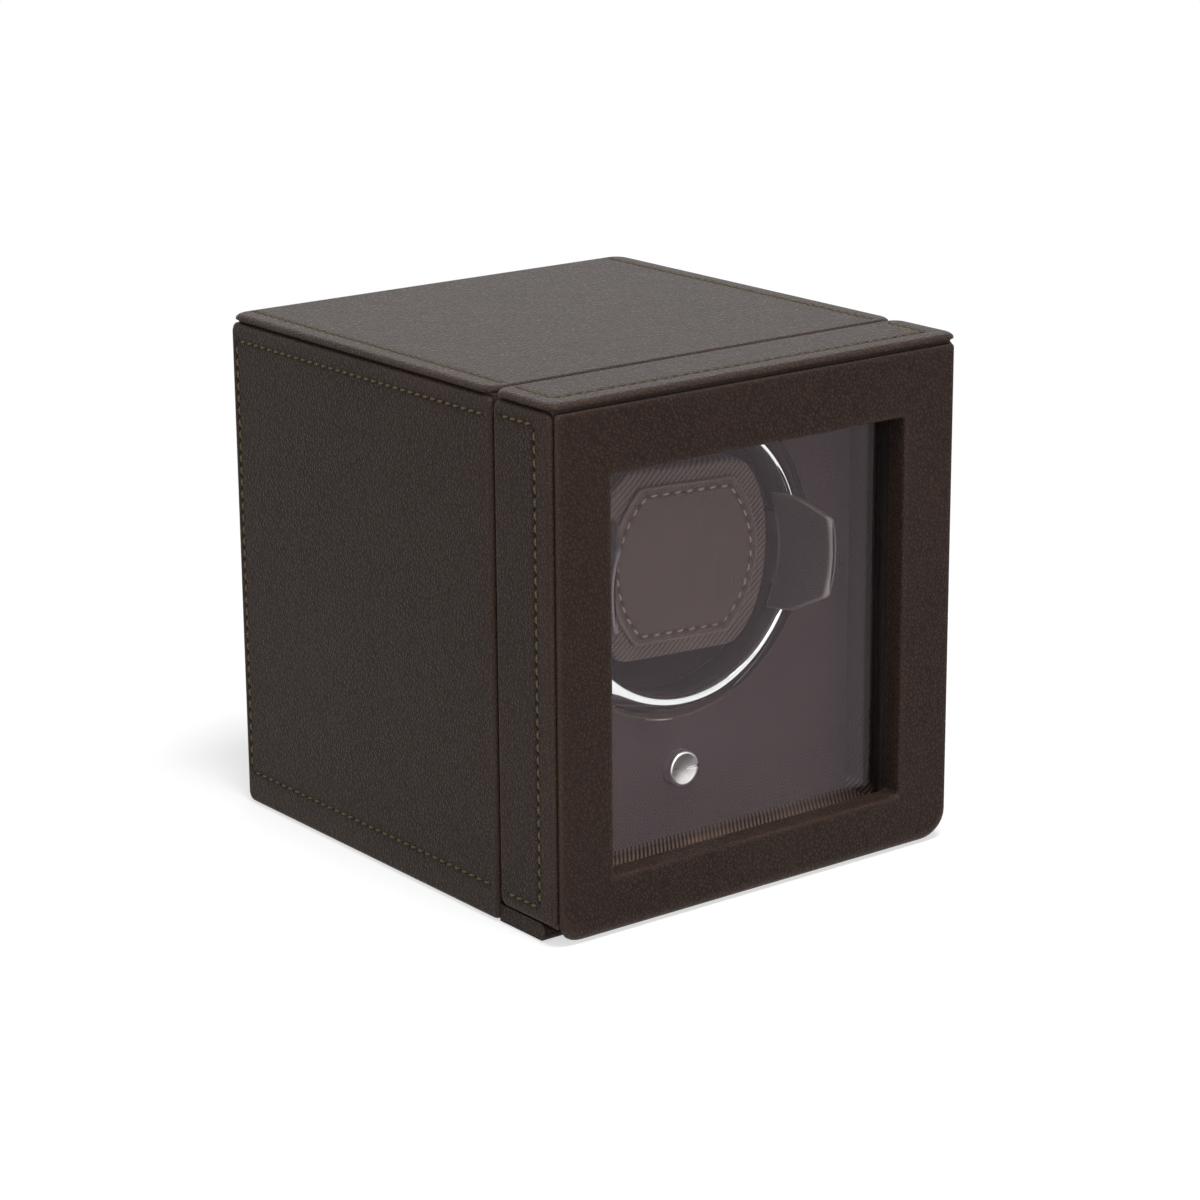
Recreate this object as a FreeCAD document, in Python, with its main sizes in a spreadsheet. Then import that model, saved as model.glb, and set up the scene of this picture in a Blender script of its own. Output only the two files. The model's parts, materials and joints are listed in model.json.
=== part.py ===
import FreeCAD, Part
import math
import os
import re

import Sketcher

# Watch winder: a leather covered cube with a glass fronted cover that drops
# forward on a bottom hinge, and a motor driven drum that carries a watch cuff.
# Millimetres. X runs to the right, Y runs from the front to the back, Z is up.
# The origin is the middle of the footprint, at the surface that it stands on.

sizes = {
    # whole object
    "width": 145.0,
    "depth": 157.0,
    "height": 152.0,
    "foot_lift": 0.5,
    # walls of the case and of the cover
    "facing": 1.8,
    "board": 4.0,
    "base": 5.0,
    "facing_round": 0.8,
    "edge_gap": 0.3,
    "slip": 0.1,
    # cover
    "cover_depth": 26.2,
    "joint_gap": 1.0,
    "cover_lift": 6.0,
    "wall_lift": 6.3,
    "side_setback": 1.4,
    "front_inset": 1.5,
    "front_drop": 1.1,
    "front_corner": 8.0,
    "window_board": 2.7,
    "window_half": 52.5,
    "window_sill": 17.0,
    "window_head": 130.2,
    "reveal": 0.8,
    "glass_step": 2.4,
    "glass": 2.0,
    "glass_lap": 4.5,
    "retainer": 2.8,
    "retainer_lap": 2.2,
    # cover hinge
    "hinge_half": 50.0,
    "hinge_axis_in": 3.0,
    "knuckle": 1.5,
    "knuckle_gap": 0.4,
    "hinge_pin": 0.75,
    "running_gap": 0.05,
    "leaf": 0.8,
    "leaf_width": 11.0,
    "lip_front": 6.4,
    "lip_inset": 0.7,
    "lip_round": 2.0,
    # magnets that hold the cover shut
    "magnet_length": 10.0,
    "magnet_wide": 3.0,
    "magnet_thick": 2.0,
    "magnet_place": 40.0,
    # fascia
    "fascia_in": 39.0,
    "cloth": 0.9,
    "fascia_board": 3.0,
    "axis_height": 90.0,
    "fascia_hole": 43.3,
    # chrome ring and the collar behind it
    "ring_bore": 39.6,
    "ring_crest": 41.0,
    "ring_rim": 48.0,
    "ring_shoulder": 44.6,
    "ring_drop": 1.7,
    "ring_stand": 5.7,
    "ring_round": 1.4,
    "collar_bore": 39.5,
    "collar_wall": 2.0,
    "collar_flange": 50.0,
    "collar_flange_thick": 2.1,
    "collar_screw_place": 46.6,
    "collar_screw": 1.1,
    # drum and its drive
    "drum_gap": 0.6,
    "drum_wall": 2.2,
    "drum_depth": 47.6,
    "drum_floor": 2.2,
    "hub": 9.0,
    "hub_length": 4.8,
    "shaft": 3.0,
    "shaft_bite": 1.8,
    "rest_turn": 2.65,
    "gear_teeth": 60.0,
    "pinion_teeth": 15.0,
    "gear_module": 0.8,
    "gear_face": 4.0,
    "gear_gap": 0.4,
    "backlash": 0.12,
    "bearing_step": 0.8,
    "bush_wall": 1.0,
    "bush_flange": 5.5,
    "bush_flange_thick": 1.0,
    "bush_length": 6.0,
    "bearing_length": 17.0,
    "bearing_boss": 8.0,
    "clip": 0.8,
    "clip_rim": 5.0,
    "shaft_tail": 1.9,
    "plate_thick": 2.5,
    "plate_half": 58.0,
    "post_x": 50.0,
    "post_rise": 44.0,
    "post_drop": 52.0,
    "post": 4.0,
    "post_foot": 6.0,
    "post_foot_thick": 1.5,
    "plate_screw": 1.5,
    "plate_screw_head": 3.0,
    "gearbox": 12.5,
    "gearbox_length": 16.5,
    "gearbox_boss": 6.0,
    "pinion_shaft": 2.0,
    "motor": 12.0,
    "motor_length": 20.0,
    # knob and switch
    "knob_height": 27.5,
    "knob": 5.3,
    "knob_face": 35.0,
    "knob_skirt": 3.7,
    "knob_wall": 0.6,
    "knob_dish": 4.0,
    "knob_dish_deep": 0.7,
    "spindle": 1.5,
    "switch_bush": 3.0,
    "switch_half": 6.0,
    "switch_deep": 10.0,
    # cuff
    "cuff_half": 31.9,
    "cuff_tall": 27.8,
    "cuff_face": 36.2,
    "cuff_deep": 25.8,
    "pad_face": 34.2,
    "pad_side_step": 4.8,
    "pad_top_step": 4.8,
    "pad_crown": 0.7,
    "spine": 3.0,
    "arm_gap": 1.2,
    "arm": 2.0,
    "arm_tall": 11.0,
    "pivot_in": 66.0,
    "pivot_step": 0.5,
    "barrel": 2.5,
    "ear_pin": 1.2,
    "lug": 3.0,
    "lug_gap": 0.3,
    "ear_root": 33.0,
    "ear_gap": 1.1,
    "ear_tip": 16.3,
    "ear_flare": 6.4,
    "ear_wide": 17.2,
    "ear_narrow": 11.0,
    "ear_bend": 25.5,
    "shoe_front": 50.0,
    "shoe_back": 56.0,
    "shoe_half": 8.0,
    "shoe_gap": 0.3,
    "key_wide": 1.6,
    "key_gap": 0.4,
    "key_tall": 2.2,
    "key_back": 61.0,
    "stop_long": 4.0,
    # electrics
    "circuit_length": 60.0,
    "circuit_width": 40.0,
    "circuit_thick": 1.6,
    "circuit_lift": 4.5,
    "circuit_front": 62.0,
    "inlet_x": 35.0,
    "inlet_height": 19.0,
    "inlet_bore": 3.0,
    "inlet_pin": 1.05,
    "inlet_body": 5.5,
    "inlet_flange": 7.0,
    "inlet_deep": 14.2,
    "lead": 1.2,
}

# Places worked out from the sizes above, each used by more than one piece.
places = {
    "front": "-depth / 2",
    "back": "depth / 2",
    "half": "width / 2",
    "board_half": "half - facing",
    "inner_half": "board_half - board",
    "base_top": "foot_lift + base",
    "skin_top": "height - facing",
    "ceiling": "skin_top - board",
    "cover_back": "front + cover_depth",
    "case_front": "cover_back + joint_gap",
    "board_back": "back - facing",
    "inner_back": "board_back - board",
    "window_back": "facing + window_board",
    "glass_seat": "window_back + glass_step",
    "glass_face": "glass_seat + slip",
    "glass_back": "glass_face + glass",
    "hinge_height": "foot_lift + hinge_axis_in",
    "leaf_top": "hinge_height + knuckle",
    "cloth_face": "front + fascia_in",
    "fascia_face": "cloth_face + cloth",
    "fascia_back": "fascia_face + fascia_board",
    "ring_face": "fascia_in - ring_stand",
    "fascia_rear_in": "fascia_in + cloth + fascia_board",
    "collar_back": "fascia_rear_in + collar_flange_thick",
    "drum_front": "collar_back + drum_gap",
    "drum_bore": "collar_bore",
    "drum_out": "drum_bore + drum_wall",
    "drum_back": "drum_front + drum_depth",
    "hub_back": "drum_back + hub_length",
    "gear_front": "hub_back + gear_gap",
    "gear_back": "gear_front + gear_face",
    "bush_front": "gear_back + bearing_step",
    "plate_face": "bush_front + bush_flange_thick",
    "plate_back": "plate_face + plate_thick",
    "bearing_back": "plate_face + bearing_length",
    "clip_front": "bearing_back + bush_flange_thick + slip",
    "shaft_back": "clip_front + clip + shaft_tail",
    "gear_distance": "(gear_teeth + pinion_teeth) * gear_module / 2",
    "pinion_height": "axis_height - gear_distance",
    "gearbox_back": "plate_back + gearbox_length",
    "motor_back": "gearbox_back + motor_length",
    "core_back": "cuff_face + cuff_deep",
    "pad_half": "cuff_half - pad_side_step",
    "pad_tall": "cuff_tall - pad_top_step",
    "arm_in": "cuff_half + arm_gap",
    "pivot_out": "arm_in + pivot_step",
    "ear_root_radius": "cuff_half + ear_gap",
    "ear_tip_radius": "ear_root_radius + ear_flare",
    "circuit_top": "base_top + circuit_lift + circuit_thick",
}

doc = FreeCAD.newDocument("WatchWinder")
sheet = doc.addObject("Spreadsheet::Sheet", "Sizes")
for row, (name, value) in enumerate(sizes.items(), start=1):
    sheet.set(f"A{row}", name)
    sheet.set(f"B{row}", str(value))
    sheet.setAlias(f"B{row}", name)

derived = doc.addObject("App::VarSet", "Places")


def formula(text):
    """The words of a formula become cells of the sheet or derived places."""

    def owner(match):
        word = match.group()
        if word in sizes:
            return "Sizes." + word
        return word if word == "sqrt" else "Places." + word

    return re.sub(r"[a-z][a-z_]*", owner, str(text))


for name, text in places.items():
    derived.addProperty("App::PropertyFloat", name)
    derived.setExpression(name, formula(text).replace("Places.", ""))
derived.addProperty("App::PropertyFloat", "answer")
doc.recompute()


def number(text):
    """The present value of a formula."""
    derived.setExpression("answer", formula(text).replace("Places.", ""))
    derived.recompute()
    return derived.answer


def vector(x, y, z):
    return FreeCAD.Vector(number(x), number(y), number(z))


nodes = {}


def node(label, thing):
    """Keeps an object as one of the object's pieces, under the piece's name."""
    thing.Label = label
    nodes[label] = thing
    return thing


def place(thing, x=0, y=0, z=0):
    thing.setExpression("Placement.Base.x", formula(x))
    thing.setExpression("Placement.Base.y", formula(y))
    thing.setExpression("Placement.Base.z", formula(z))
    return thing


def place_on_axis(thing, turned=True):
    """Moves a piece drawn about the drum's axis to its place in the case."""
    if turned:
        thing.Placement.Rotation = FreeCAD.Rotation(FreeCAD.Vector(0, 1, 0), 1)
        thing.setExpression("Placement.Rotation.Angle", "Sizes.rest_turn")
    return place(thing, 0, "front", "axis_height")


def block(name, x, y, z):
    """A board between two formulas on each axis."""
    box = doc.addObject("Part::Box", name)
    for side, (low, high) in zip(("Length", "Width", "Height"), (x, y, z)):
        box.setExpression(side, formula(f"({high}) - ({low})"))
    return place(box, x[0], y[0], z[0])


def rod(name, radius, x, y, z, length, along="y"):
    """A cylinder that starts at a point and runs along an axis."""
    turns = {"x": (0, 1, 0, 90), "y": (1, 0, 0, -90), "z": (0, 0, 1, 0)}
    a, b, c, angle = turns[along]
    bar = doc.addObject("Part::Cylinder", name)
    bar.setExpression("Radius", formula(radius))
    bar.setExpression("Height", formula(length))
    bar.Placement.Rotation = FreeCAD.Rotation(FreeCAD.Vector(a, b, c), angle)
    return place(bar, x, y, z)


def cut(name, whole, *tools):
    for count, tool in enumerate(tools, start=1):
        last = count == len(tools)
        result = doc.addObject("Part::Cut", name if last else f"{name}_cut{count}")
        result.Base = whole
        result.Tool = tool
        whole = result
    return whole


def fuse(name, *parts):
    result = doc.addObject("Part::MultiFuse", name)
    result.Shapes = list(parts)
    return result


def common(name, first, second):
    result = doc.addObject("Part::Common", name)
    result.Base = first
    result.Tool = second
    return result


def group(name, *parts):
    """Separate solids that share one node."""
    result = doc.addObject("Part::Compound", name)
    result.Links = list(parts)
    return result


def rounded(name, whole, radius, pick):
    """Rounds the edges that pick accepts."""
    doc.recompute()
    size = number(radius)
    result = doc.addObject("Part::Fillet", name)
    result.Base = whole
    edges = enumerate(whole.Shape.Edges, start=1)
    result.Edges = [(count, size, size) for count, edge in edges if pick(edge)]
    whole.Visibility = False
    return result


def every_edge(edge):
    return True


def runs_along(axis):
    """Accepts straight edges that run along one axis."""

    def pick(edge):
        if len(edge.Vertexes) < 2:
            return False
        step = edge.Vertexes[1].Point - edge.Vertexes[0].Point
        return step.Length > 1e-6 and abs(abs(step[axis]) - step.Length) < 1e-6

    return pick


def plane_of(body, role):
    return next(part for part in body.Origin.OriginFeatures if part.Role == role)


def sketch_on(body, role, name):
    sketch = body.newObject("Sketcher::SketchObject", name)
    sketch.AttachmentSupport = [(plane_of(body, role), "")]
    sketch.MapMode = "FlatFace"
    return sketch


def outline(sketch, corners):
    """A closed outline, each corner tied to the origin by two formulas."""
    points = [vector(a, b, 0) for a, b in corners]
    first = sketch.GeometryCount
    count = len(points)
    for step in range(count):
        sketch.addGeometry(Part.LineSegment(points[step], points[(step + 1) % count]))
    for step in range(count):
        following = first + (step + 1) % count
        sketch.addConstraint(Sketcher.Constraint("Coincident", first + step, 2, following, 1))
    for step, (a, b) in enumerate(corners):
        for kind, text, value in (("DistanceX", a, points[step].x), ("DistanceY", b, points[step].y)):
            number_of = sketch.addConstraint(
                Sketcher.Constraint(kind, -1, 1, first + step, 1, value)
            )
            sketch.setExpression(f"Constraints[{number_of}]", formula(text))


def circle(sketch, a, b, radius):
    """A circle whose centre and radius follow three formulas."""
    centre = vector(a, b, 0)
    index = sketch.addGeometry(Part.Circle(centre, FreeCAD.Vector(0, 0, 1), number(radius)))
    for kind, text, value in (("DistanceX", a, centre.x), ("DistanceY", b, centre.y)):
        number_of = sketch.addConstraint(Sketcher.Constraint(kind, -1, 1, index, 3, value))
        sketch.setExpression(f"Constraints[{number_of}]", formula(text))
    number_of = sketch.addConstraint(Sketcher.Constraint("Radius", index, number(radius)))
    sketch.setExpression(f"Constraints[{number_of}]", formula(radius))


def rectangle(low_a, high_a, low_b, high_b):
    return [(low_a, low_b), (high_a, low_b), (high_a, high_b), (low_a, high_b)]


def sheet_piece(name, thickness, corners, openings=(), holes=()):
    """An outline seen from the front, with its face at the body's own Y zero."""
    body = doc.addObject("PartDesign::Body", name)
    sketch = sketch_on(body, "XZ_Plane", name + "_outline")
    outline(sketch, corners)
    for opening in openings:
        outline(sketch, opening)
    for a, b, radius in holes:
        circle(sketch, a, b, radius)
    pad = body.newObject("PartDesign::Pad", name + "_pad")
    pad.Profile = sketch
    pad.Reversed = True
    pad.setExpression("Length", formula(thickness))
    body.Tip = pad
    doc.recompute()
    return body


def turned(name, profile):
    """A profile of (along Y, radius) corners turned about the Y axis."""
    body = doc.addObject("PartDesign::Body", name)
    sketch = sketch_on(body, "YZ_Plane", name + "_profile")
    outline(sketch, profile)
    spin = body.newObject("PartDesign::Revolution", name + "_turn")
    spin.Profile = sketch
    spin.ReferenceAxis = (sketch, ["H_Axis"])
    spin.Angle = 360
    body.Tip = spin
    doc.recompute()
    return body


def soften(body, radius, pick):
    """Rounds edges of a body's last feature."""
    base = body.Tip
    names = [f"Edge{count}" for count, edge in enumerate(base.Shape.Edges, start=1) if pick(edge)]
    feature = body.newObject("PartDesign::Fillet", body.Name + "_round")
    feature.Base = (base, names)
    feature.setExpression("Radius", formula(radius))
    body.Tip = feature
    doc.recompute()
    return body


def four(prefix, make):
    """One copy of a piece at each corner of the motor plate."""
    corners = [(side, end) for side in ("-post_x", "post_x") for end in ("post_rise", "-post_drop")]
    return [make(f"{prefix}{count}", side, end) for count, (side, end) in enumerate(corners)]


# case: base, walls and their leather faced panels

lip_low = "front + lip_front"
lip_plan = [
    ("-board_half", "board_back"),
    ("-board_half", "case_front"),
    ("-half + lip_inset", "case_front"),
    ("-half + lip_inset", lip_low),
    ("half - lip_inset", lip_low),
    ("half - lip_inset", "case_front"),
    ("board_half", "case_front"),
    ("board_half", "board_back"),
]
base_body = doc.addObject("PartDesign::Body", "base_blank")
base_sketch = sketch_on(base_body, "XY_Plane", "base_outline")
outline(base_sketch, lip_plan)
base_pad = base_body.newObject("PartDesign::Pad", "base_pad")
base_pad.Profile = base_sketch
base_pad.setExpression("Length", formula("base"))
base_body.Tip = base_pad
doc.recompute()
front_line = number(lip_low)
soften(
    base_body,
    "lip_round",
    lambda edge: all(abs(point.Point.y - front_line) < 1e-6 for point in edge.Vertexes)
    and runs_along(0)(edge),
)
place(base_body, 0, 0, "foot_lift")
leaf_rebate = block(
    "leaf_rebate",
    ("-hinge_half - edge_gap", "hinge_half + edge_gap"),
    ("front", "front + hinge_axis_in + leaf_width + edge_gap"),
    ("leaf_top - leaf", "base_top + 1"),
)
node("base_board", cut("base_board", base_body, leaf_rebate))

for side, low, high in (("left", "-board_half", "-inner_half"), ("right", "inner_half", "board_half")):
    wall = block(side + "_board", (low, high), ("case_front", "board_back"), ("base_top", "skin_top"))
    node(side + "_board", wall)

top_blank = block(
    "top_blank", ("-inner_half", "inner_half"), ("case_front", "board_back"), ("ceiling", "skin_top")
)


def magnet(name, side, y_from, y_to, slack="0"):
    """A bar magnet, or with slack the pocket that holds it."""
    middle = f"{side} * magnet_place"
    return block(
        name,
        (f"{middle} - magnet_length / 2 - {slack}", f"{middle} + magnet_length / 2 + {slack}"),
        (y_from, y_to),
        (
            f"ceiling + (board - magnet_wide) / 2 - {slack}",
            f"ceiling + (board + magnet_wide) / 2 + {slack}",
        ),
    )


case_pockets = [
    magnet(f"case_pocket{side}", side, "case_front", "case_front + magnet_thick + slip", "0.05")
    for side in (-1, 1)
]
node("top_board", cut("top_board", top_blank, *case_pockets))
case_magnets = [
    magnet(f"case_magnet{side}", side, "case_front + slip", "case_front + slip + magnet_thick")
    for side in (-1, 1)
]
node("case_magnets", group("case_magnets", *case_magnets))

back_blank = block(
    "back_blank", ("-inner_half", "inner_half"), ("inner_back", "board_back"), ("base_top", "ceiling")
)
inlet_hole = rod("inlet_hole", "inlet_body + slip", "inlet_x", "inner_back - 1", "inlet_height", "board + 2")
node("back_board", cut("back_board", back_blank, inlet_hole))

for side, low, high in (("left", "-half", "-board_half"), ("right", "board_half", "half")):
    skin = block(
        side + "_panel_blank",
        (low, high),
        ("case_front", "back"),
        ("foot_lift", "skin_top - edge_gap"),
    )
    node(side + "_panel", rounded(side + "_panel", skin, "facing_round", every_edge))

top_skin = block("top_panel_blank", ("-half", "half"), ("case_front", "back"), ("skin_top", "height"))
node("top_panel", rounded("top_panel", top_skin, "facing_round", every_edge))

back_skin = block(
    "back_panel_blank",
    ("-board_half + edge_gap", "board_half - edge_gap"),
    ("board_back", "back"),
    ("foot_lift", "skin_top - edge_gap"),
)
back_round = rounded("back_panel_round", back_skin, "facing_round", every_edge)
flange_hole = rod(
    "flange_hole", "inlet_flange + edge_gap", "inlet_x", "board_back - 1", "inlet_height", "facing + 2"
)
node("back_panel", cut("back_panel", back_round, flange_hole))

pad_x = "half - 14"
pad_y = "depth / 2 - 16"
feet = [
    rod(f"foot{count}", 5, f"{sx} * ({pad_x})", f"{sy} * ({pad_y})", 0, "foot_lift", "z")
    for count, (sx, sy) in enumerate(((-1, -1), (1, -1), (1, 1), (-1, 1)))
]
node("foot_pads", group("foot_pads", *feet))

# recess in front of the fascia, lined with cloth on all four sides

lining_run = ("case_front + edge_gap", "cloth_face")
lining = [
    block("lining_floor", ("-inner_half", "inner_half"), lining_run, ("base_top", "base_top + cloth")),
    block("lining_head", ("-inner_half", "inner_half"), lining_run, ("ceiling - cloth", "ceiling")),
]
for side, low, high in (
    ("left", "-inner_half", "-inner_half + cloth"),
    ("right", "inner_half - cloth", "inner_half"),
):
    strip = block(f"lining_{side}", (low, high), lining_run, ("base_top + cloth", "ceiling - cloth"))
    lining.append(strip)
node("recess_lining", group("recess_lining", *lining))

# fascia: cloth on a board, with holes for the drum and for the switch

fascia_outline = rectangle("-inner_half + slip", "inner_half - slip", "base_top + slip", "ceiling - slip")
fascia_holes = [(0, "axis_height", "fascia_hole"), (0, "knob_height", "switch_bush + slip")]
fascia_cloth = sheet_piece("fascia_cloth", "cloth", fascia_outline, holes=fascia_holes)
node("fascia_cloth", place(fascia_cloth, 0, "cloth_face", 0))
fascia_board = sheet_piece("fascia_board", "fascia_board", fascia_outline, holes=fascia_holes)
node("fascia_board", place(fascia_board, 0, "fascia_face", 0))

spigot_out = "fascia_hole - slip"
spigot_in = "collar_bore + collar_wall + slip"
ring = turned(
    "bezel_ring",
    [
        ("ring_face + 1.2", "ring_bore"),
        ("ring_face", "ring_crest"),
        ("ring_face + ring_drop", "ring_shoulder"),
        ("fascia_in", "ring_rim"),
        ("fascia_in", spigot_out),
        ("fascia_rear_in - edge_gap", spigot_out),
        ("fascia_rear_in - edge_gap", spigot_in),
        ("ring_face + 1.2", spigot_in),
    ],
)
crest = number("ring_crest")
soften(ring, "ring_round", lambda edge: abs(edge.BoundBox.ZMax - crest) < 1e-4)
node("bezel_ring", place_on_axis(ring, turned=False))

collar_rim = "collar_bore + collar_wall"
collar = turned(
    "drum_collar",
    [
        ("ring_face + 1.3", "collar_bore"),
        ("ring_face + 1.3", collar_rim),
        ("fascia_rear_in", collar_rim),
        ("fascia_rear_in", "collar_flange"),
        ("collar_back", "collar_flange"),
        ("collar_back", "collar_bore"),
    ],
)
place_on_axis(collar, turned=False)


def around(name, radius, pitch, start, length, count=4):
    """Rods along Y, spaced evenly about the drum's axis from 45 degrees."""
    rods = []
    for step in range(count):
        angle = math.radians(45 + step * 360 / count)
        x = f"({pitch}) * {math.cos(angle):.6f}"
        z = f"axis_height + ({pitch}) * {math.sin(angle):.6f}"
        rods.append(rod(f"{name}{step}", radius, x, start, z, length))
    return rods


collar_holes = around(
    "collar_hole", "collar_screw", "collar_screw_place", "fascia_back - 1", "collar_flange_thick + 2"
)
node("drum_collar", cut("drum_collar_drilled", collar, *collar_holes))
pilot_holes = around("pilot_hole", "collar_screw", "collar_screw_place", "fascia_back - 2.4", "3")
node("fascia_board", cut("fascia_board_drilled", fascia_board, *pilot_holes))
shanks = around(
    "collar_shank", "collar_screw", "collar_screw_place", "fascia_back - 2.3", "2.3 + collar_flange_thick"
)
heads = around("collar_head", "2 * collar_screw", "collar_screw_place", "front + collar_back", "1.3")
collar_screws = [fuse(f"collar_screw{step}", shanks[step], heads[step]) for step in range(len(shanks))]
node("collar_screws", group("collar_screws", *collar_screws))

# drum: a cup with two pairs of keys that turn the cuff, a hub and a shaft

cup = turned(
    "drum_cup",
    [
        ("drum_front", "drum_bore"),
        ("drum_front", "drum_out"),
        ("drum_back", "drum_out"),
        ("drum_back", "hub"),
        ("hub_back", "hub"),
        ("hub_back", "shaft"),
        ("drum_back - drum_floor + shaft_bite / 4", "shaft"),
        ("drum_back - drum_floor + shaft_bite / 4", 0),
        ("drum_back - drum_floor", 0),
        ("drum_back - drum_floor", "drum_bore"),
    ],
)
key_low = "shoe_half + key_gap"
keys = []
for count, (sx, sz) in enumerate(((-1, -1), (1, -1), (1, 1), (-1, 1))):
    x_near = "drum_bore - key_tall - 1.2"
    x_far = "drum_bore - 0.1"
    span_x = (f"-({x_far})", f"-({x_near})") if sx < 0 else (x_near, x_far)
    span_z = (f"-({key_low} + key_wide)", f"-({key_low})") if sz < 0 else (key_low, f"{key_low} + key_wide")
    keys.append(block(f"key{count}", span_x, ("drum_front + 1", "key_back"), span_z))
    stop_near = "pivot_out"
    stop_far = "drum_bore - 1"
    stop_x = (f"-({stop_far})", f"-({stop_near})") if sx < 0 else (stop_near, stop_far)
    stop_low = "arm_tall + lug_gap"
    stop_z = (f"-({stop_low} + lug)", f"-({stop_low})") if sz < 0 else (stop_low, f"{stop_low} + lug")
    seat = "pivot_in + barrel + edge_gap"
    keys.append(block(f"stop{count}", stop_x, (seat, f"{seat} + stop_long"), stop_z))
node("drum", place_on_axis(fuse("drum", cup, *keys)))

shaft_blank = rod(
    "shaft_blank",
    "shaft",
    0,
    "drum_back - drum_floor + shaft_bite / 4",
    0,
    "shaft_back - drum_back + drum_floor - shaft_bite / 4",
)
clip_groove = turned(
    "clip_groove",
    [
        ("clip_front", "shaft - 0.5"),
        ("clip_front", "shaft + 1"),
        ("clip_front + clip", "shaft + 1"),
        ("clip_front + clip", "shaft - 0.5"),
    ],
)
node("drum_shaft", place_on_axis(cut("drum_shaft", shaft_blank, clip_groove)))
clip = turned(
    "shaft_clip",
    [
        ("clip_front", "shaft - 0.5"),
        ("clip_front", "clip_rim"),
        ("clip_front + clip", "clip_rim"),
        ("clip_front + clip", "shaft - 0.5"),
    ],
)
node("shaft_clip", place_on_axis(clip))


def gear_wheel(teeth, module, face, bore, play, first_tooth):
    """Spur gear with involute flanks of 20 degrees, each an arc through three points.

    A tooth is centred at first_tooth degrees from X towards Z, and the gear
    runs from Y zero towards the back.
    """
    pitch = teeth * module / 2
    tip = pitch + 0.9 * module
    root = pitch - 1.2 * module
    rolling = pitch * math.cos(math.radians(20))

    def slant(radius):
        angle = math.acos(min(1.0, rolling / radius))
        return math.tan(angle) - angle

    def half_angle(radius):
        return math.pi / (2 * teeth) - play / (2 * pitch) + slant(pitch) - slant(radius)

    def at(radius, angle):
        return FreeCAD.Vector(radius * math.cos(angle), 0, radius * math.sin(angle))

    start = max(root, rolling)
    edges = []
    for tooth in range(int(teeth)):
        middle = math.radians(first_tooth) + tooth * 2 * math.pi / teeth
        rising = [at(radius, middle - half_angle(radius)) for radius in (start, (start + tip) / 2, tip)]
        falling = [at(radius, middle + half_angle(radius)) for radius in (tip, (start + tip) / 2, start)]
        foot_before = at(root, middle - half_angle(start))
        foot_after = at(root, middle + half_angle(start))
        foot_next = at(root, middle + 2 * math.pi / teeth - half_angle(start))
        if start > root:
            edges.append(Part.LineSegment(foot_before, rising[0]).toShape())
        edges.append(Part.Arc(*rising).toShape())
        edges.append(Part.Arc(rising[2], at(tip, middle), falling[0]).toShape())
        edges.append(Part.Arc(*falling).toShape())
        if start > root:
            edges.append(Part.LineSegment(falling[2], foot_after).toShape())
        valley = at(root, middle + math.pi / teeth)
        edges.append(Part.Arc(foot_after, valley, foot_next).toShape())
    rim = Part.Face(Part.Wire(edges))
    wheel = rim.extrude(FreeCAD.Vector(0, face, 0))
    hole = Part.makeCylinder(bore, face + 2, FreeCAD.Vector(0, -1, 0), FreeCAD.Vector(0, 1, 0))
    return wheel.cut(hole)


drum_gear = doc.addObject("Part::Feature", "drum_gear")
drum_gear.Shape = gear_wheel(
    sheet.gear_teeth, sheet.gear_module, sheet.gear_face, sheet.shaft, sheet.backlash, -90
)
node("drum_gear", place(drum_gear, 0, "front + gear_front", "axis_height"))

pinion = doc.addObject("Part::Feature", "pinion")
pinion.Shape = gear_wheel(
    sheet.pinion_teeth,
    sheet.gear_module,
    sheet.gear_face + 1,
    sheet.pinion_shaft,
    sheet.backlash,
    90 + 180 / sheet.pinion_teeth,
)
node("pinion", place(pinion, 0, "front + gear_front - 0.5", "pinion_height"))
pinion_shaft = rod(
    "pinion_shaft", "pinion_shaft", 0, "front + gear_front - 0.9", "pinion_height", "gear_face + 14"
)
node("pinion_shaft", pinion_shaft)

# motor plate, its posts and screws, and the shaft's two bushes

plate_outline = rectangle("-plate_half", "plate_half", "-post_drop - 7", "post_rise + 7")
plate_holes = [
    (0, 0, "shaft + running_gap + bush_wall"),
    (0, "-gear_distance", "gearbox_boss + slip"),
]
for side in ("-post_x", "post_x"):
    for end in ("post_rise", "-post_drop"):
        plate_holes.append((side, end, "plate_screw"))
plate = sheet_piece("plate_blank", "plate_thick", plate_outline, holes=plate_holes)
place(plate, 0, "plate_face", 0)
boss = turned(
    "bearing_boss",
    [
        ("plate_face", "shaft + running_gap + bush_wall"),
        ("plate_face", "bearing_boss"),
        ("bearing_back", "bearing_boss"),
        ("bearing_back", "shaft + running_gap + bush_wall"),
    ],
)
motor_plate = fuse("motor_plate", plate, boss)
node("motor_plate", place_on_axis(motor_plate, turned=False))

bush_bore = "shaft + running_gap"
bush_rim = "shaft + running_gap + bush_wall"
front_bush = turned(
    "front_bush",
    [
        ("bush_front", bush_bore),
        ("bush_front", "bush_flange"),
        ("plate_face", "bush_flange"),
        ("plate_face", bush_rim),
        ("plate_face + bush_length", bush_rim),
        ("plate_face + bush_length", bush_bore),
    ],
)
rear_bush = turned(
    "rear_bush",
    [
        ("bearing_back - bush_length", bush_bore),
        ("bearing_back - bush_length", bush_rim),
        ("bearing_back", bush_rim),
        ("bearing_back", "bush_flange"),
        ("bearing_back + bush_flange_thick", "bush_flange"),
        ("bearing_back + bush_flange_thick", bush_bore),
    ],
)
bushes = group("shaft_bushes", front_bush, rear_bush)
node("shaft_bushes", place_on_axis(bushes, turned=False))


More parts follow.
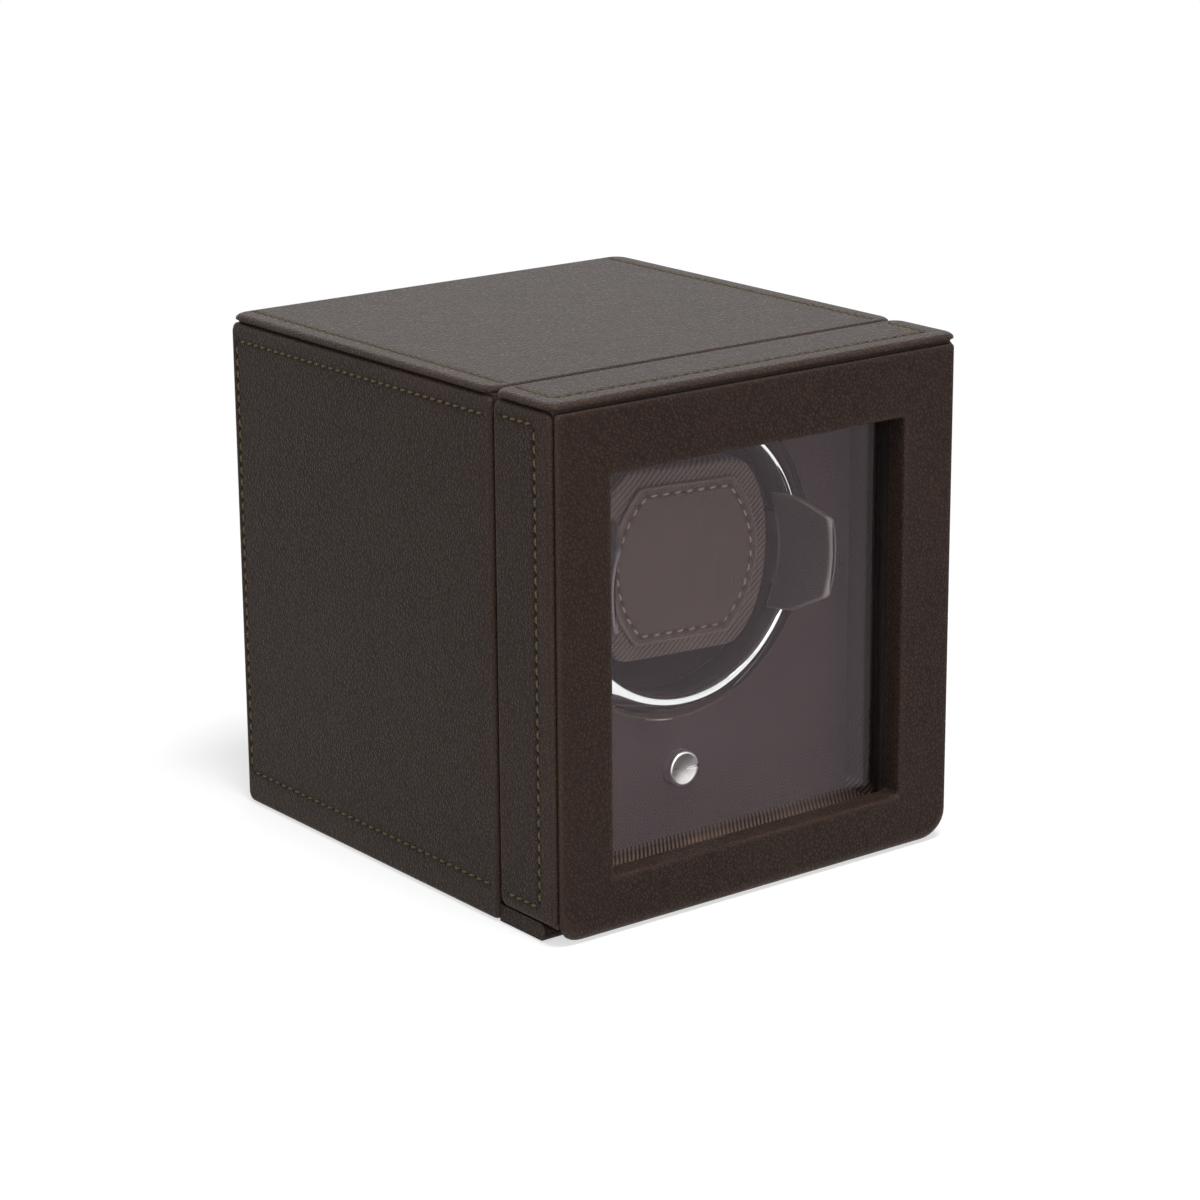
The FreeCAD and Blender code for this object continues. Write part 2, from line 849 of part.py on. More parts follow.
def post(name, side, end):
    foot = rod(name + "_foot", "post_foot", side, "fascia_back", f"axis_height + {end}", "post_foot_thick")
    stem = rod(
        name + "_stem",
        "post",
        side,
        "fascia_back",
        f"axis_height + {end}",
        "plate_face - fascia_rear_in",
    )
    thread = rod(
        name + "_thread", "plate_screw", side, "front + plate_face - 8.5", f"axis_height + {end}", "9"
    )
    return cut(name, fuse(name + "_whole", foot, stem), thread)


def plate_screw(name, side, end):
    shank = rod(
        name + "_shank",
        "plate_screw",
        side,
        "front + plate_face - 8",
        f"axis_height + {end}",
        "8 + plate_thick",
    )
    head = rod(name + "_head", "plate_screw_head", side, "front + plate_back", f"axis_height + {end}", "2")
    return fuse(name, shank, head)


node("plate_posts", group("plate_posts", *four("post", post)))
node("plate_screws", group("plate_screws", *four("plate_screw_", plate_screw)))

gearbox_can = rod("gearbox_can", "gearbox", 0, "front + plate_back", "pinion_height", "gearbox_length")
gearbox_nose = rod(
    "gearbox_nose", "gearbox_boss", 0, "front + plate_face - 0.5", "pinion_height", "plate_thick + 1"
)
gearbox_bore = rod(
    "gearbox_bore",
    "pinion_shaft + running_gap",
    0,
    "front + plate_face - 1",
    "pinion_height",
    "gear_face + 10",
)
gearbox = cut("gearbox", fuse("gearbox_whole", gearbox_can, gearbox_nose), gearbox_bore)
node("gearbox", gearbox)
motor_can = rod("motor_can", "motor", 0, "front + gearbox_back", "pinion_height", "motor_length")
motor_cap = rod("motor_cap", "motor / 2", 0, "front + motor_back - 0.5", "pinion_height", "1.7")
node("motor", fuse("motor", motor_can, motor_cap))

# switch and knob

switch_box = block(
    "switch_box",
    ("-switch_half", "switch_half"),
    ("fascia_back", "fascia_back + switch_deep"),
    ("knob_height - switch_half", "knob_height + switch_half"),
)
switch_nose = rod(
    "switch_nose", "switch_bush", 0, "cloth_face - 1.9", "knob_height", "1.9 + cloth + fascia_board + 1"
)
switch_bore = rod(
    "switch_bore", "spindle + running_gap", 0, "cloth_face - 2.9", "knob_height", "cloth + fascia_board + 9.2"
)
node("rotary_switch", cut("rotary_switch", fuse("switch_whole", switch_box, switch_nose), switch_bore))

nut_body = doc.addObject("Part::Prism", "nut_blank")
nut_body.Polygon = 6
nut_body.setExpression("Circumradius", formula("knob - knob_wall - edge_gap"))
nut_body.Height = 1.6
nut_body.Placement.Rotation = FreeCAD.Rotation(FreeCAD.Vector(1, 0, 0), -90)
place(nut_body, 0, "cloth_face - 1.6", "knob_height")
nut_hole = rod("nut_hole", "switch_bush", 0, "cloth_face - 2", "knob_height", "3")
node("switch_nut", cut("switch_nut", nut_body, nut_hole))

knob = turned(
    "knob",
    [
        ("knob_face", "knob - 0.4"),
        ("knob_face + 0.4", "knob"),
        ("knob_face + knob_skirt", "knob"),
        ("knob_face + knob_skirt", "knob - knob_wall"),
        ("knob_face + 1.6", "knob - knob_wall"),
        ("knob_face + 1.6", "spindle"),
        ("knob_face + 1", "spindle"),
        ("knob_face + 1", 0),
        ("knob_face + knob_dish_deep", 0),
        ("knob_face + knob_dish_deep", "knob_dish - 0.9"),
        ("knob_face", "knob_dish"),
    ],
)
pointer = block(
    "pointer",
    (0.6, "knob_dish + 0.5"),
    ("knob_face - 1", "knob_face + knob_dish_deep + 0.2"),
    (-0.35, 0.35),
)
knob_marked = cut("knob_marked", knob, pointer)
node("knob", place(knob_marked, 0, "front", "knob_height"))
spindle = rod("spindle", "spindle", 0, "front + knob_face + 1", "knob_height", "fascia_in - knob_face + 9")
node("spindle", spindle)

# cuff: a cloth covered core with a leather pad, on a plastic spine with two sprung ears

def barrel_outline(half, tall, flat, shoulder_x, shoulder_z, bulge):
    """Corners of a barrel seen from the front, a quarter at a time."""
    quarter = [
        (flat, tall),
        (shoulder_x, shoulder_z),
        (f"({half}) - ({bulge})", f"({tall}) * 0.36"),
    ]
    corners = list(quarter)
    corners.append((half, 0))
    corners += [(x, f"-({z})") for x, z in reversed(quarter)]
    corners += [(f"-({x})", f"-({z})") for x, z in quarter]
    corners.append((f"-({half})", 0))
    corners += [(f"-({x})", z) for x, z in reversed(quarter)]
    return corners


core_outline = barrel_outline(
    "cuff_half", "cuff_tall", "cuff_half - 12", "cuff_half - 4.2", "cuff_tall - 7.5", "0.7"
)
core = sheet_piece("cuff_core", "cuff_deep", core_outline)
soften(core, 5.0, lambda edge: edge.BoundBox.YLength < 1e-6)
place(core, 0, "cuff_face", 0)
pad_outline = barrel_outline(
    "pad_half", "pad_tall", "pad_half - 10.4", "pad_half - 3.4", "pad_tall - 7.9", "1.6"
)
pad = sheet_piece("cuff_pad", "cuff_face - pad_face - slip", pad_outline)
soften(pad, 1.2, lambda edge: abs(edge.BoundBox.YMax) < 1e-6)
place(pad, 0, "pad_face", 0)
ball = doc.addObject("Part::Sphere", "pad_ball")
ball.setExpression("Radius", formula("(pad_half ^ 2 + pad_crown ^ 2) / (2 * pad_crown)"))
place(ball, 0, "pad_face + (pad_half ^ 2 + pad_crown ^ 2) / (2 * pad_crown)", 0)
crowned_pad = common("crowned_pad", pad, ball)


def on_cuff(name, thing):
    """Puts a piece drawn about the drum's axis on the turned cuff."""
    return node(name, place_on_axis(group(name + "_set", thing)))


on_cuff("cuff_core", core)
on_cuff("cuff_pad", crowned_pad)

lug_low = "arm_tall + lug_gap"
spine_plate = block(
    "spine_plate",
    ("-pivot_out + barrel + edge_gap", "pivot_out - barrel - edge_gap"),
    ("core_back", "core_back + spine"),
    (f"-({lug_low} + lug)", f"{lug_low} + lug"),
)
spine_parts = [spine_plate]
for count, (sx, sz) in enumerate(((-1, -1), (1, -1), (1, 1), (-1, 1))):
    near = "pivot_out - barrel - edge_gap - 2"
    far = "pivot_out + barrel"
    span_x = (f"-({far})", f"-({near})") if sx < 0 else (near, far)
    span_z = (f"-({lug_low} + lug)", f"-({lug_low})") if sz < 0 else (lug_low, f"{lug_low} + lug")
    spine_parts.append(block(f"lug{count}", span_x, ("core_back", "pivot_in + barrel"), span_z))
lug_top = f"({lug_low} + lug)"


def pivot_rod(name, sx, over):
    """A rod on an ear's pivot, longer than the lugs by over at each end."""
    length = f"2 * ({lug_top} + {over})"
    return rod(name, "ear_pin", f"{sx} * pivot_out", "pivot_in", f"-{lug_top} - {over}", length, "z")


spine_holes = [pivot_rod(f"lug_hole{count}", sx, 1) for count, sx in enumerate((-1, 1))]
on_cuff("cuff_spine", cut("cuff_spine", fuse("spine_whole", *spine_parts), *spine_holes))
pins = [pivot_rod(f"ear_pin{count}", sx, 0) for count, sx in enumerate((-1, 1))]
on_cuff("ear_pins", group("ear_pins", *pins))


def ear(name, sx):
    """One ear: a flared blade in front, an arm, a shoe and a hinge barrel behind."""
    blade = doc.addObject("PartDesign::Body", name + "_blade")
    sketch = sketch_on(blade, "XY_Plane", name + "_section")
    flare = [
        ("ear_root_radius", "ear_root"),
        ("ear_tip_radius", "ear_tip"),
        ("ear_tip_radius + arm", "ear_tip"),
        ("ear_root_radius + arm", "ear_root"),
    ]
    outline(sketch, [(f"{sx} * ({x})", y) for x, y in flare])
    spin = blade.newObject("PartDesign::Revolution", name + "_spin")
    spin.Profile = sketch
    spin.ReferenceAxis = (sketch, ["V_Axis"])
    spin.Angle = 70
    spin.Midplane = True
    blade.Tip = spin
    profile = doc.addObject("PartDesign::Body", name + "_profile")
    side = sketch_on(profile, "YZ_Plane", name + "_side")
    outline(
        side,
        [
            ("ear_root + 1", "-ear_wide"),
            ("ear_root + 1", "ear_wide"),
            ("ear_bend", "ear_wide"),
            ("ear_tip - 1", "ear_narrow"),
            ("ear_tip - 1", "-ear_narrow"),
            ("ear_bend", "-ear_wide"),
        ],
    )
    slab = profile.newObject("PartDesign::Pad", name + "_slab")
    slab.Profile = side
    slab.setExpression("Length", formula("2 * half"))
    slab.Midplane = True
    profile.Tip = slab
    flared = common(name + "_flared", blade, profile)
    arm_x = ("arm_in", "arm_in + arm") if sx > 0 else ("-arm_in - arm", "-arm_in")
    arm = block(name + "_arm", arm_x, ("ear_root - 1.4", "pivot_in"), ("-arm_tall", "arm_tall"))
    shoe_reach = ("arm_in + arm - 0.1", "drum_bore") if sx > 0 else ("-drum_bore", "-arm_in - arm + 0.1")
    shoe = block(name + "_shoe", shoe_reach, ("shoe_front", "shoe_back"), ("-shoe_half", "shoe_half"))
    bore = rod(
        name + "_bore_room", "drum_bore - shoe_gap", 0, "shoe_front - 1", 0, "shoe_back - shoe_front + 2"
    )
    barrel = rod(
        name + "_barrel", "barrel", f"{sx} * pivot_out", "pivot_in", "-arm_tall", "2 * arm_tall", "z"
    )
    pin_bore = rod(
        name + "_pin_bore",
        "ear_pin + running_gap",
        f"{sx} * pivot_out",
        "pivot_in",
        "-arm_tall - 1",
        "2 * arm_tall + 2",
        "z",
    )
    whole = fuse(name + "_whole", flared, arm, common(name + "_shoe_round", shoe, bore), barrel)
    return cut(name + "_bored", whole, pin_bore)


on_cuff("ear_left", ear("ear_left", -1))
on_cuff("ear_right", ear("ear_right", 1))

# cover: window board, walls, leather faced panels, glass and its retainer

window = ("-window_half", "window_half", "window_sill", "window_head")
board_window = (
    "-window_half - reveal",
    "window_half + reveal",
    "window_sill - reveal",
    "window_head + reveal",
)
leaf_low = "leaf_top + edge_gap"
window_blank = sheet_piece(
    "window_blank",
    "window_board",
    rectangle("-board_half", "board_half", leaf_low, "skin_top"),
    openings=[rectangle(*board_window)],
)
place(window_blank, 0, "front + facing", 0)
cover_leaf_rebate = block(
    "cover_leaf_rebate",
    ("-hinge_half - edge_gap", "hinge_half + edge_gap"),
    ("front + window_back - leaf", "front + window_back + 1"),
    ("hinge_height", "hinge_height + leaf_width + edge_gap"),
)
glass_half = "window_half + glass_lap"
seat = sheet_piece(
    "glass_seat_frame",
    "glass_step",
    rectangle(f"-({glass_half})", glass_half, "window_sill - glass_lap", "window_head + glass_lap"),
    openings=[rectangle(*board_window)],
)
place(seat, 0, "front + window_back", 0)
seated_board = fuse("window_board_and_seat", window_blank, seat)
node("window_board", cut("window_board", seated_board, cover_leaf_rebate))

for side, low, high in (("left", "-board_half", "-inner_half"), ("right", "inner_half", "board_half")):
    wall = block(
        f"cover_{side}_wall", (low, high), ("front + window_back", "cover_back"), ("wall_lift", "skin_top")
    )
    node(f"cover_{side}_wall", wall)
cover_top_blank = block(
    "cover_top_blank",
    ("-inner_half", "inner_half"),
    ("front + window_back", "cover_back"),
    ("ceiling", "skin_top"),
)
cover_pockets = [
    magnet(f"cover_pocket{side}", side, "cover_back - magnet_thick - slip", "cover_back", "0.05")
    for side in (-1, 1)
]
node("cover_top_wall", cut("cover_top_wall", cover_top_blank, *cover_pockets))
cover_magnets = [
    magnet(f"cover_magnet{side}", side, "cover_back - slip - magnet_thick", "cover_back - slip")
    for side in (-1, 1)
]
node("cover_magnets", group("cover_magnets", *cover_magnets))

for side, low, high in (("left", "-half", "-board_half"), ("right", "board_half", "half")):
    skin = block(
        f"cover_{side}_blank",
        (low, high),
        ("front + side_setback", "cover_back"),
        ("cover_lift", "skin_top - edge_gap"),
    )
    node(f"cover_{side}_panel", rounded(f"cover_{side}_panel", skin, "facing_round", every_edge))
cover_top_skin = block(
    "cover_top_skin", ("-half", "half"), ("front + slip", "cover_back"), ("skin_top", "height")
)
node("cover_top_panel", rounded("cover_top_panel", cover_top_skin, "facing_round", every_edge))

front_half = "half - front_inset"
curl = doc.addObject("PartDesign::Body", "front_curl")
curl_sketch = sketch_on(curl, "YZ_Plane", "front_curl_section")
outline(
    curl_sketch,
    rectangle("front", "front + facing", "hinge_height", "skin_top - front_drop"),
)
curl_pad = curl.newObject("PartDesign::Pad", "front_curl_pad")
curl_pad.Profile = curl_sketch
curl_pad.setExpression("Length", formula(f"2 * ({front_half})"))
curl_pad.Midplane = True
curl.Tip = curl_pad
roll, roll_room = (
    rod(name, radius, "-half", "front + hinge_axis_in", "hinge_height", "width", "x")
    for name, radius in (("front_roll", "hinge_axis_in"), ("front_roll_room", "knuckle + edge_gap"))
)
quarter = block(
    "front_quarter",
    (f"-({front_half})", front_half),
    ("front", "front + hinge_axis_in"),
    ("foot_lift", "hinge_height"),
)
curl_band = common("front_roll_quarter", roll, quarter)
front_whole = cut("front_whole", fuse("front_and_curl", curl, curl_band), roll_room)
window_hole = block(
    "window_hole",
    (window[0], window[1]),
    ("front - 1", "front + glass_face + 1"),
    (window[2], window[3]),
)
reveal_block = block(
    "reveal_block",
    (board_window[0], board_window[1]),
    ("front + facing - 0.2", "front + glass_seat"),
    (board_window[2], board_window[3]),
)
front_rolled = cut("front_rolled", fuse("front_lined", front_whole, reveal_block), window_hole)
mask_body = sheet_piece(
    "front_mask",
    "1 + hinge_axis_in + glass_seat",
    rectangle(f"-({front_half})", front_half, "foot_lift", "skin_top - front_drop"),
)
ground = number("foot_lift")
soften(
    mask_body,
    "front_corner",
    lambda edge: runs_along(1)(edge) and abs(edge.Vertexes[0].Point.z - ground) < 1e-6,
)
place(mask_body, 0, "front - 1", 0)
front_masked = common("front_masked", front_rolled, mask_body)
tucks = [
    block(
        f"side_tuck_{side}",
        span,
        ("front + side_setback - slip", "front + facing + 1"),
        ("cover_lift - edge_gap", "skin_top"),
    )
    for side, span in (
        ("left", ("-half", "-board_half + slip")),
        ("right", ("board_half - slip", "half")),
    )
]
node("front_panel", cut("front_panel", front_masked, *tucks))

glass = block(
    "window_glass",
    (f"-({glass_half})", glass_half),
    ("front + glass_face", "front + glass_back"),
    ("window_sill - glass_lap", "window_head + glass_lap"),
)
node("window_glass", glass)
retainer_run = ("front + glass_back + slip", "front + glass_back + slip + retainer")
retainer_half = "window_half + retainer_lap"
sill_line = "window_sill - retainer_lap"
head_line = "window_head + retainer_lap"
retainer = [
    block("retainer_floor", ("-inner_half", "inner_half"), retainer_run, ("wall_lift + 2", sill_line)),
    block("retainer_head", ("-inner_half", "inner_half"), retainer_run, (head_line, "ceiling")),
    block("retainer_left", ("-inner_half", f"-({retainer_half})"), retainer_run, (sill_line, head_line)),
    block("retainer_right", (retainer_half, "inner_half"), retainer_run, (sill_line, head_line)),
]
node("glass_retainer", group("glass_retainer", *retainer))

# cover hinge: two leaves with interleaved knuckles on one pin

knuckle_count = 5


def hinge_leaf(name, mine, plate):
    """A leaf with the knuckles of one parity."""
    step = f"2 * hinge_half / {knuckle_count}"
    parts = [plate]
    gaps = []
    for index in range(knuckle_count):
        start = f"-hinge_half + {index} * {step}"
        if index % 2 == mine:
            knuckle = rod(
                f"{name}_knuckle{index}",
                "knuckle",
                f"{start} + knuckle_gap / 2",
                "front + hinge_axis_in",
                "hinge_height",
                f"{step} - knuckle_gap",
                "x",
            )
            parts.append(knuckle)
            continue
        room = "(knuckle + edge_gap)"
        notch = block(
            f"{name}_notch{index}",
            (f"{start} - knuckle_gap / 2", f"{start} + {step} + knuckle_gap / 2"),
            (f"front + hinge_axis_in - {room}", f"front + hinge_axis_in + {room}"),
            (f"hinge_height - {room}", f"hinge_height + {room}"),
        )
        gaps.append(notch)
    bore = rod(
        name + "_bore",
        "hinge_pin + running_gap",
        "-hinge_half - 1",
        "front + hinge_axis_in",
        "hinge_height",
        "2 * hinge_half + 2",
        "x",
    )
    return cut(name, fuse(name + "_whole", *parts), *gaps, bore)


case_leaf_plate = block(
    "case_leaf_plate",
    ("-hinge_half + knuckle_gap / 2", "hinge_half - knuckle_gap / 2"),
    ("front + hinge_axis_in", "front + hinge_axis_in + leaf_width"),
    ("leaf_top - leaf", "leaf_top"),
)
node("hinge_leaf_case", hinge_leaf("hinge_leaf_case", 0, case_leaf_plate))
cover_leaf_plate = block(
    "cover_leaf_plate",
    ("-hinge_half + knuckle_gap / 2", "hinge_half - knuckle_gap / 2"),
    ("front + window_back - leaf", "front + window_back"),
    ("hinge_height", "hinge_height + leaf_width"),
)
node("hinge_leaf_cover", hinge_leaf("hinge_leaf_cover", 1, cover_leaf_plate))
hinge_pin = rod(
    "hinge_pin", "hinge_pin", "-hinge_half", "front + hinge_axis_in", "hinge_height", "2 * hinge_half", "x"
)
node("hinge_pin", hinge_pin)

# circuit board on four posts, with the parts it carries

circuit_y = "front + circuit_front"
circuit_low = "base_top + circuit_lift"
circuit = block(
    "circuit_board",
    ("-circuit_length * 0.75", "circuit_length * 0.25"),
    (circuit_y, f"{circuit_y} + circuit_width"),
    (circuit_low, "circuit_top"),
)
circuit_posts = [
    rod(
        f"circuit_post{count}",
        2.5,
        f"-circuit_length * 0.25 + {sx} * (circuit_length / 2 - 4)",
        f"{circuit_y} + circuit_width / 2 + {sy} * (circuit_width / 2 - 4)",
        "base_top",
        "circuit_lift",
        "z",
    )
    for count, (sx, sy) in enumerate(((-1, -1), (1, -1), (1, 1), (-1, 1)))
]
node("circuit_board", circuit)
node("circuit_posts", group("circuit_posts", *circuit_posts))


def on_circuit(name, x, y, long, wide, tall):
    """A boxed component at a place measured from the board's front left corner."""
    left = f"-circuit_length * 0.75 + {x}"
    near = f"{circuit_y} + {y}"
    return block(
        name, (left, f"{left} + {long}"), (near, f"{near} + {wide}"), ("circuit_top", f"circuit_top + {tall}")
    )


chips = [on_circuit("control_chip", 22, 12, 10, 10, 1.6), on_circuit("driver_chip", 38, 14, 6, 5, 1.6)]
capacitors = [
    rod(
        f"capacitor{count}",
        3.15,
        f"-circuit_length * 0.75 + {x}",
        f"{circuit_y} + 30",
        "circuit_top",
        11,
        "z",
    )
    for count, x in enumerate((16, 25))
]
sockets = [
    on_circuit("power_socket", 45, 29, 8, 7, 6),
    on_circuit("motor_socket", 33, 29, 8, 7, 6),
    on_circuit("switch_socket", 41, 3, 8, 5, 6),
]
node("circuit_parts", group("circuit_parts", *chips, *capacitors, *sockets))

# power inlet: a socket for a 5.5 mm plug, flush with the back

inlet_axis = ("inlet_x", "inlet_height")
inlet = turned(
    "inlet_blank",
    [
        ("-inlet_deep - facing + edge_gap", 0),
        ("-inlet_deep - facing + edge_gap", "inlet_body"),
        ("-facing", "inlet_body"),
        ("-facing", "inlet_flange"),
        ("-edge_gap", "inlet_flange"),
        ("-edge_gap", "inlet_bore"),
        ("-edge_gap - 11", "inlet_bore"),
        ("-edge_gap - 11", 0),
    ],
)
place(inlet, inlet_axis[0], "back", inlet_axis[1])
inlet_pin = rod("inlet_pin", "inlet_pin", inlet_axis[0], "back - edge_gap - 11", inlet_axis[1], 10)
node("dc_inlet", group("dc_inlet", inlet, inlet_pin))
inlet_nut = doc.addObject("Part::Prism", "inlet_nut_blank")
inlet_nut.Polygon = 6
inlet_nut.setExpression("Circumradius", formula("inlet_body + 3"))
inlet_nut.Height = 2.5
inlet_nut.Placement.Rotation = FreeCAD.Rotation(FreeCAD.Vector(1, 0, 0), -90)
place(inlet_nut, inlet_axis[0], "inner_back - 2.5", inlet_axis[1])
inlet_nut_hole = rod("inlet_nut_hole", "inlet_body", inlet_axis[0], "inner_back - 3", inlet_axis[1], 4)
node("inlet_nut", cut("inlet_nut", inlet_nut, inlet_nut_hole))


def lead_route(points, radius):
    """Straight runs joined by tangent arcs, each 0.45 of the shorter run beside it."""
    edges = []
    last = points[0]
    for before, corner, after in zip(points, points[1:], points[2:]):
        come = (corner - before).normalize()
        leave = (after - corner).normalize()
        trim = 0.45 * min((corner - before).Length, (after - corner).Length)
        start = corner - come * trim
        end = corner + leave * trim
        half_turn = come.getAngle(leave) / 2
        bend = trim / math.tan(half_turn)
        print("lead bend radius", round(bend, 2))
        inward = (leave - come).normalize()
        centre = corner + inward * (bend / math.cos(half_turn))
        middle = centre - inward * bend
        edges.append(Part.LineSegment(last, start).toShape())
        edges.append(Part.Arc(start, middle, end).toShape())
        last = end
    edges.append(Part.LineSegment(last, points[-1]).toShape())
    path = Part.Wire(edges)
    direction = (points[1] - points[0]).normalize()
    section = Part.Wire(Part.makeCircle(radius, points[0], direction))
    tube = path.makePipeShell([section], True, False)
    print("lead volume", round(tube.Volume, 2), "of", round(path.Length * math.pi * radius**2, 2))
    return tube


lead_start = number("back - inlet_deep - facing + edge_gap")
inlet_z = number("inlet_height")
socket_back = number(f"{circuit_y} + 36")
socket_front = number(f"{circuit_y} + 3")
socket_z = number("circuit_top + 3")
board_left = number("-circuit_length * 0.75")
inlet_left = number("inlet_x")
power_route = [
    (inlet_left, lead_start, inlet_z),
    (inlet_left, lead_start - 10, inlet_z),
    (inlet_left - 8, lead_start - 17, inlet_z - 1),
    (board_left + 54, socket_back + 13, socket_z + 1),
    (board_left + 49, socket_back + 8, socket_z),
    (board_left + 49, socket_back, socket_z),
]
motor_end = number("front + motor_back")
motor_low = number("pinion_height - motor + 3")
motor_route = [
    (0, motor_end, motor_low),
    (0, motor_end + 6.4, motor_low),
    (0, motor_end + 6.4, motor_low - 8),
    ((board_left + 37) / 2, motor_end - 4, motor_low - 24),
    (board_left + 37, socket_back + 16, socket_z + 3),
    (board_left + 37, socket_back + 8, socket_z),
    (board_left + 37, socket_back, socket_z),
]
switch_back = number("fascia_back + switch_deep")
switch_low = number("knob_height - switch_half + 3")
switch_route = [
    (0, switch_back, switch_low),
    (0, switch_back + 5, switch_low),
    (0, socket_front - 5, socket_z),
    (0, socket_front, socket_z),
]
leads = []
for count, route in enumerate((power_route, motor_route, switch_route)):
    lead = doc.addObject("Part::Feature", f"lead{count}")
    lead.Shape = lead_route([FreeCAD.Vector(*point) for point in route], sheet.lead)
    leads.append(lead)
node("inner_leads", group("inner_leads", *leads))

# checks, then one file for each piece

doc.recompute()
for thing in doc.Objects:
    if "Invalid" in thing.State or "Error" in thing.State:
        raise RuntimeError(f"{thing.Name} failed: {thing.State}")
os.makedirs("parts", exist_ok=True)
for label, thing in nodes.items():
    shape = thing.Shape
    if shape.isNull() or not shape.isValid() or not shape.Solids:
        raise RuntimeError(f"{label} has no valid solid")
    shape.exportStep(f"parts/{label}.step")
print(len(nodes), "pieces written")
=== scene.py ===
import json
import math

import bpy
import numpy as np
from mathutils import Matrix, Vector


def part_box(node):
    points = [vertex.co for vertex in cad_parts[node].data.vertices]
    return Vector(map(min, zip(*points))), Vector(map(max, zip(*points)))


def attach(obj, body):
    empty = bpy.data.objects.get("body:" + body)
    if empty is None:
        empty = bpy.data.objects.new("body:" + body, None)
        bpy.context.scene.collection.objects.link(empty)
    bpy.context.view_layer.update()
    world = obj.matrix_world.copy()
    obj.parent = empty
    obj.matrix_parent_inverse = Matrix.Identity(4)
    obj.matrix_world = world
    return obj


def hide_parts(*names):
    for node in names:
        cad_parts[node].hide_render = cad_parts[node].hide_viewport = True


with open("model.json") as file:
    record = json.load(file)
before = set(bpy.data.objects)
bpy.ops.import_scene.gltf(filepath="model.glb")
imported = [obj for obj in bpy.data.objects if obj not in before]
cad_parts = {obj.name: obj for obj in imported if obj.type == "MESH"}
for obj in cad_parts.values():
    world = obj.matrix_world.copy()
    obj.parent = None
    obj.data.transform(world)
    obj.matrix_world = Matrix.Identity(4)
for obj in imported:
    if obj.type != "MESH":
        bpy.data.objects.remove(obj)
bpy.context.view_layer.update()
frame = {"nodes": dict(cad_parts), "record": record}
nodes = frame["nodes"]
print("model loaded:", len(nodes), "nodes")

mm = 0.001
# millimetres: the box's front face along Y, from which depths are counted, and two heights
frontAt = -78.5
drumHigh = 90.0
knobHigh = 27.5
scene = bpy.context.scene


class Wire:
    # one output of a material's nodes: sums and products on it add Math nodes
    def __init__(self, tree, socket=None):
        self.tree = tree
        self.socket = socket

    def node(self, kind, settings=None, inputs=None, output=0):
        # a new node, with its settings first and then its sockets' values or links, as one of its outputs
        made = self.tree.nodes.new("ShaderNode" + kind)
        for name, value in (settings or {}).items():
            setattr(made, name, value)
        for name, value in (inputs or {}).items():
            if isinstance(value, Wire):
                self.tree.links.new(value.socket, made.inputs[name])
            else:
                made.inputs[name].default_value = value
        return Wire(self.tree, made.outputs[output] if made.outputs else None)

    def out(self, name):
        return Wire(self.tree, self.socket.node.outputs[name])

    def calc(self, operation, *values):
        return self.node("Math", {"operation": operation}, dict(enumerate(values)))

    def __add__(self, other):
        return self.calc("ADD", self, other)

    def __radd__(self, other):
        return self.calc("ADD", other, self)

    def __sub__(self, other):
        return self.calc("SUBTRACT", self, other)

    def __rsub__(self, other):
        return self.calc("SUBTRACT", other, self)

    def __mul__(self, other):
        return self.calc("MULTIPLY", self, other)

    def __rmul__(self, other):
        return self.calc("MULTIPLY", other, self)

    def __truediv__(self, other):
        return self.calc("DIVIDE", self, other)

    def __pow__(self, other):
        return self.calc("POWER", self, other)

    def between(self, low, high):
        # 0 below low, 1 above high, smooth in between
        return self.node("MapRange", {"interpolation_type": "SMOOTHSTEP"},
                         {"Value": self, "From Min": low, "From Max": high})

    def wave(self):
        # a sine of the value, moved into 0..1
        return self.calc("SINE", self) * 0.5 + 0.5

    def blend(self, first, second):
        # a colour between two colours, at this value
        return self.node("Mix", {"data_type": "RGBA"}, {0: self, 6: first, 7: second}, 2)

    def noise(self, place, size, detail=2.0, rough=0.5):
        # noise with lumps about size metres across
        return self.node("TexNoise", {}, {"Vector": place, "Scale": 1.0 / size, "Detail": detail,
                                          "Roughness": rough})

    def cells(self, place, size, feature="F1"):
        # distances in a pattern of cells about size metres across
        return self.node("TexVoronoi", {"feature": feature}, {"Vector": place, "Scale": 1.0 / size})

    def mark(self, name):
        # an attribute of the piece's mesh, 0 where it has none
        return self.node("Attribute", {"attribute_name": name}, {}, "Fac")

    def bump(self, height, depth, under=None):
        # depth is the relief's height in metres
        inputs = {"Height": height, "Distance": depth, "Strength": 1.0}
        if under is not None:
            inputs["Normal"] = under
        return self.node("Bump", {}, inputs)


def rgba(colour):
    return (*colour, 1.0)


def tint(colour, factor):
    # a darker or lighter shade, with its alpha
    return tuple(min(1.0, c * factor) for c in colour) + (1.0,)


def material(name):
    # an empty material, a wire to start from, and the place on the object
    made = bpy.data.materials.new(name)
    made.use_nodes = True
    made.node_tree.nodes.clear()
    start = Wire(made.node_tree)
    place = start.node("TexCoord", output="Object")
    return made, start, place


def finish(made, start, inputs, clear=False):
    # The main shader and the material's output. Clear glass lets pass the rays that look for a lamp, and the
    # rays that leave a matt surface.
    shader = start.node("BsdfPrincipled", {}, inputs)
    if clear:
        ray = start.node("LightPath", output="Is Shadow Ray")
        passing = ray.calc("MAXIMUM", ray, ray.out("Is Diffuse Ray"))
        shader = start.node("MixShader", {}, {0: passing, 1: shader, 2: start.node("BsdfTransparent")})
    start.node("OutputMaterial", {}, {"Surface": shader})
    return made


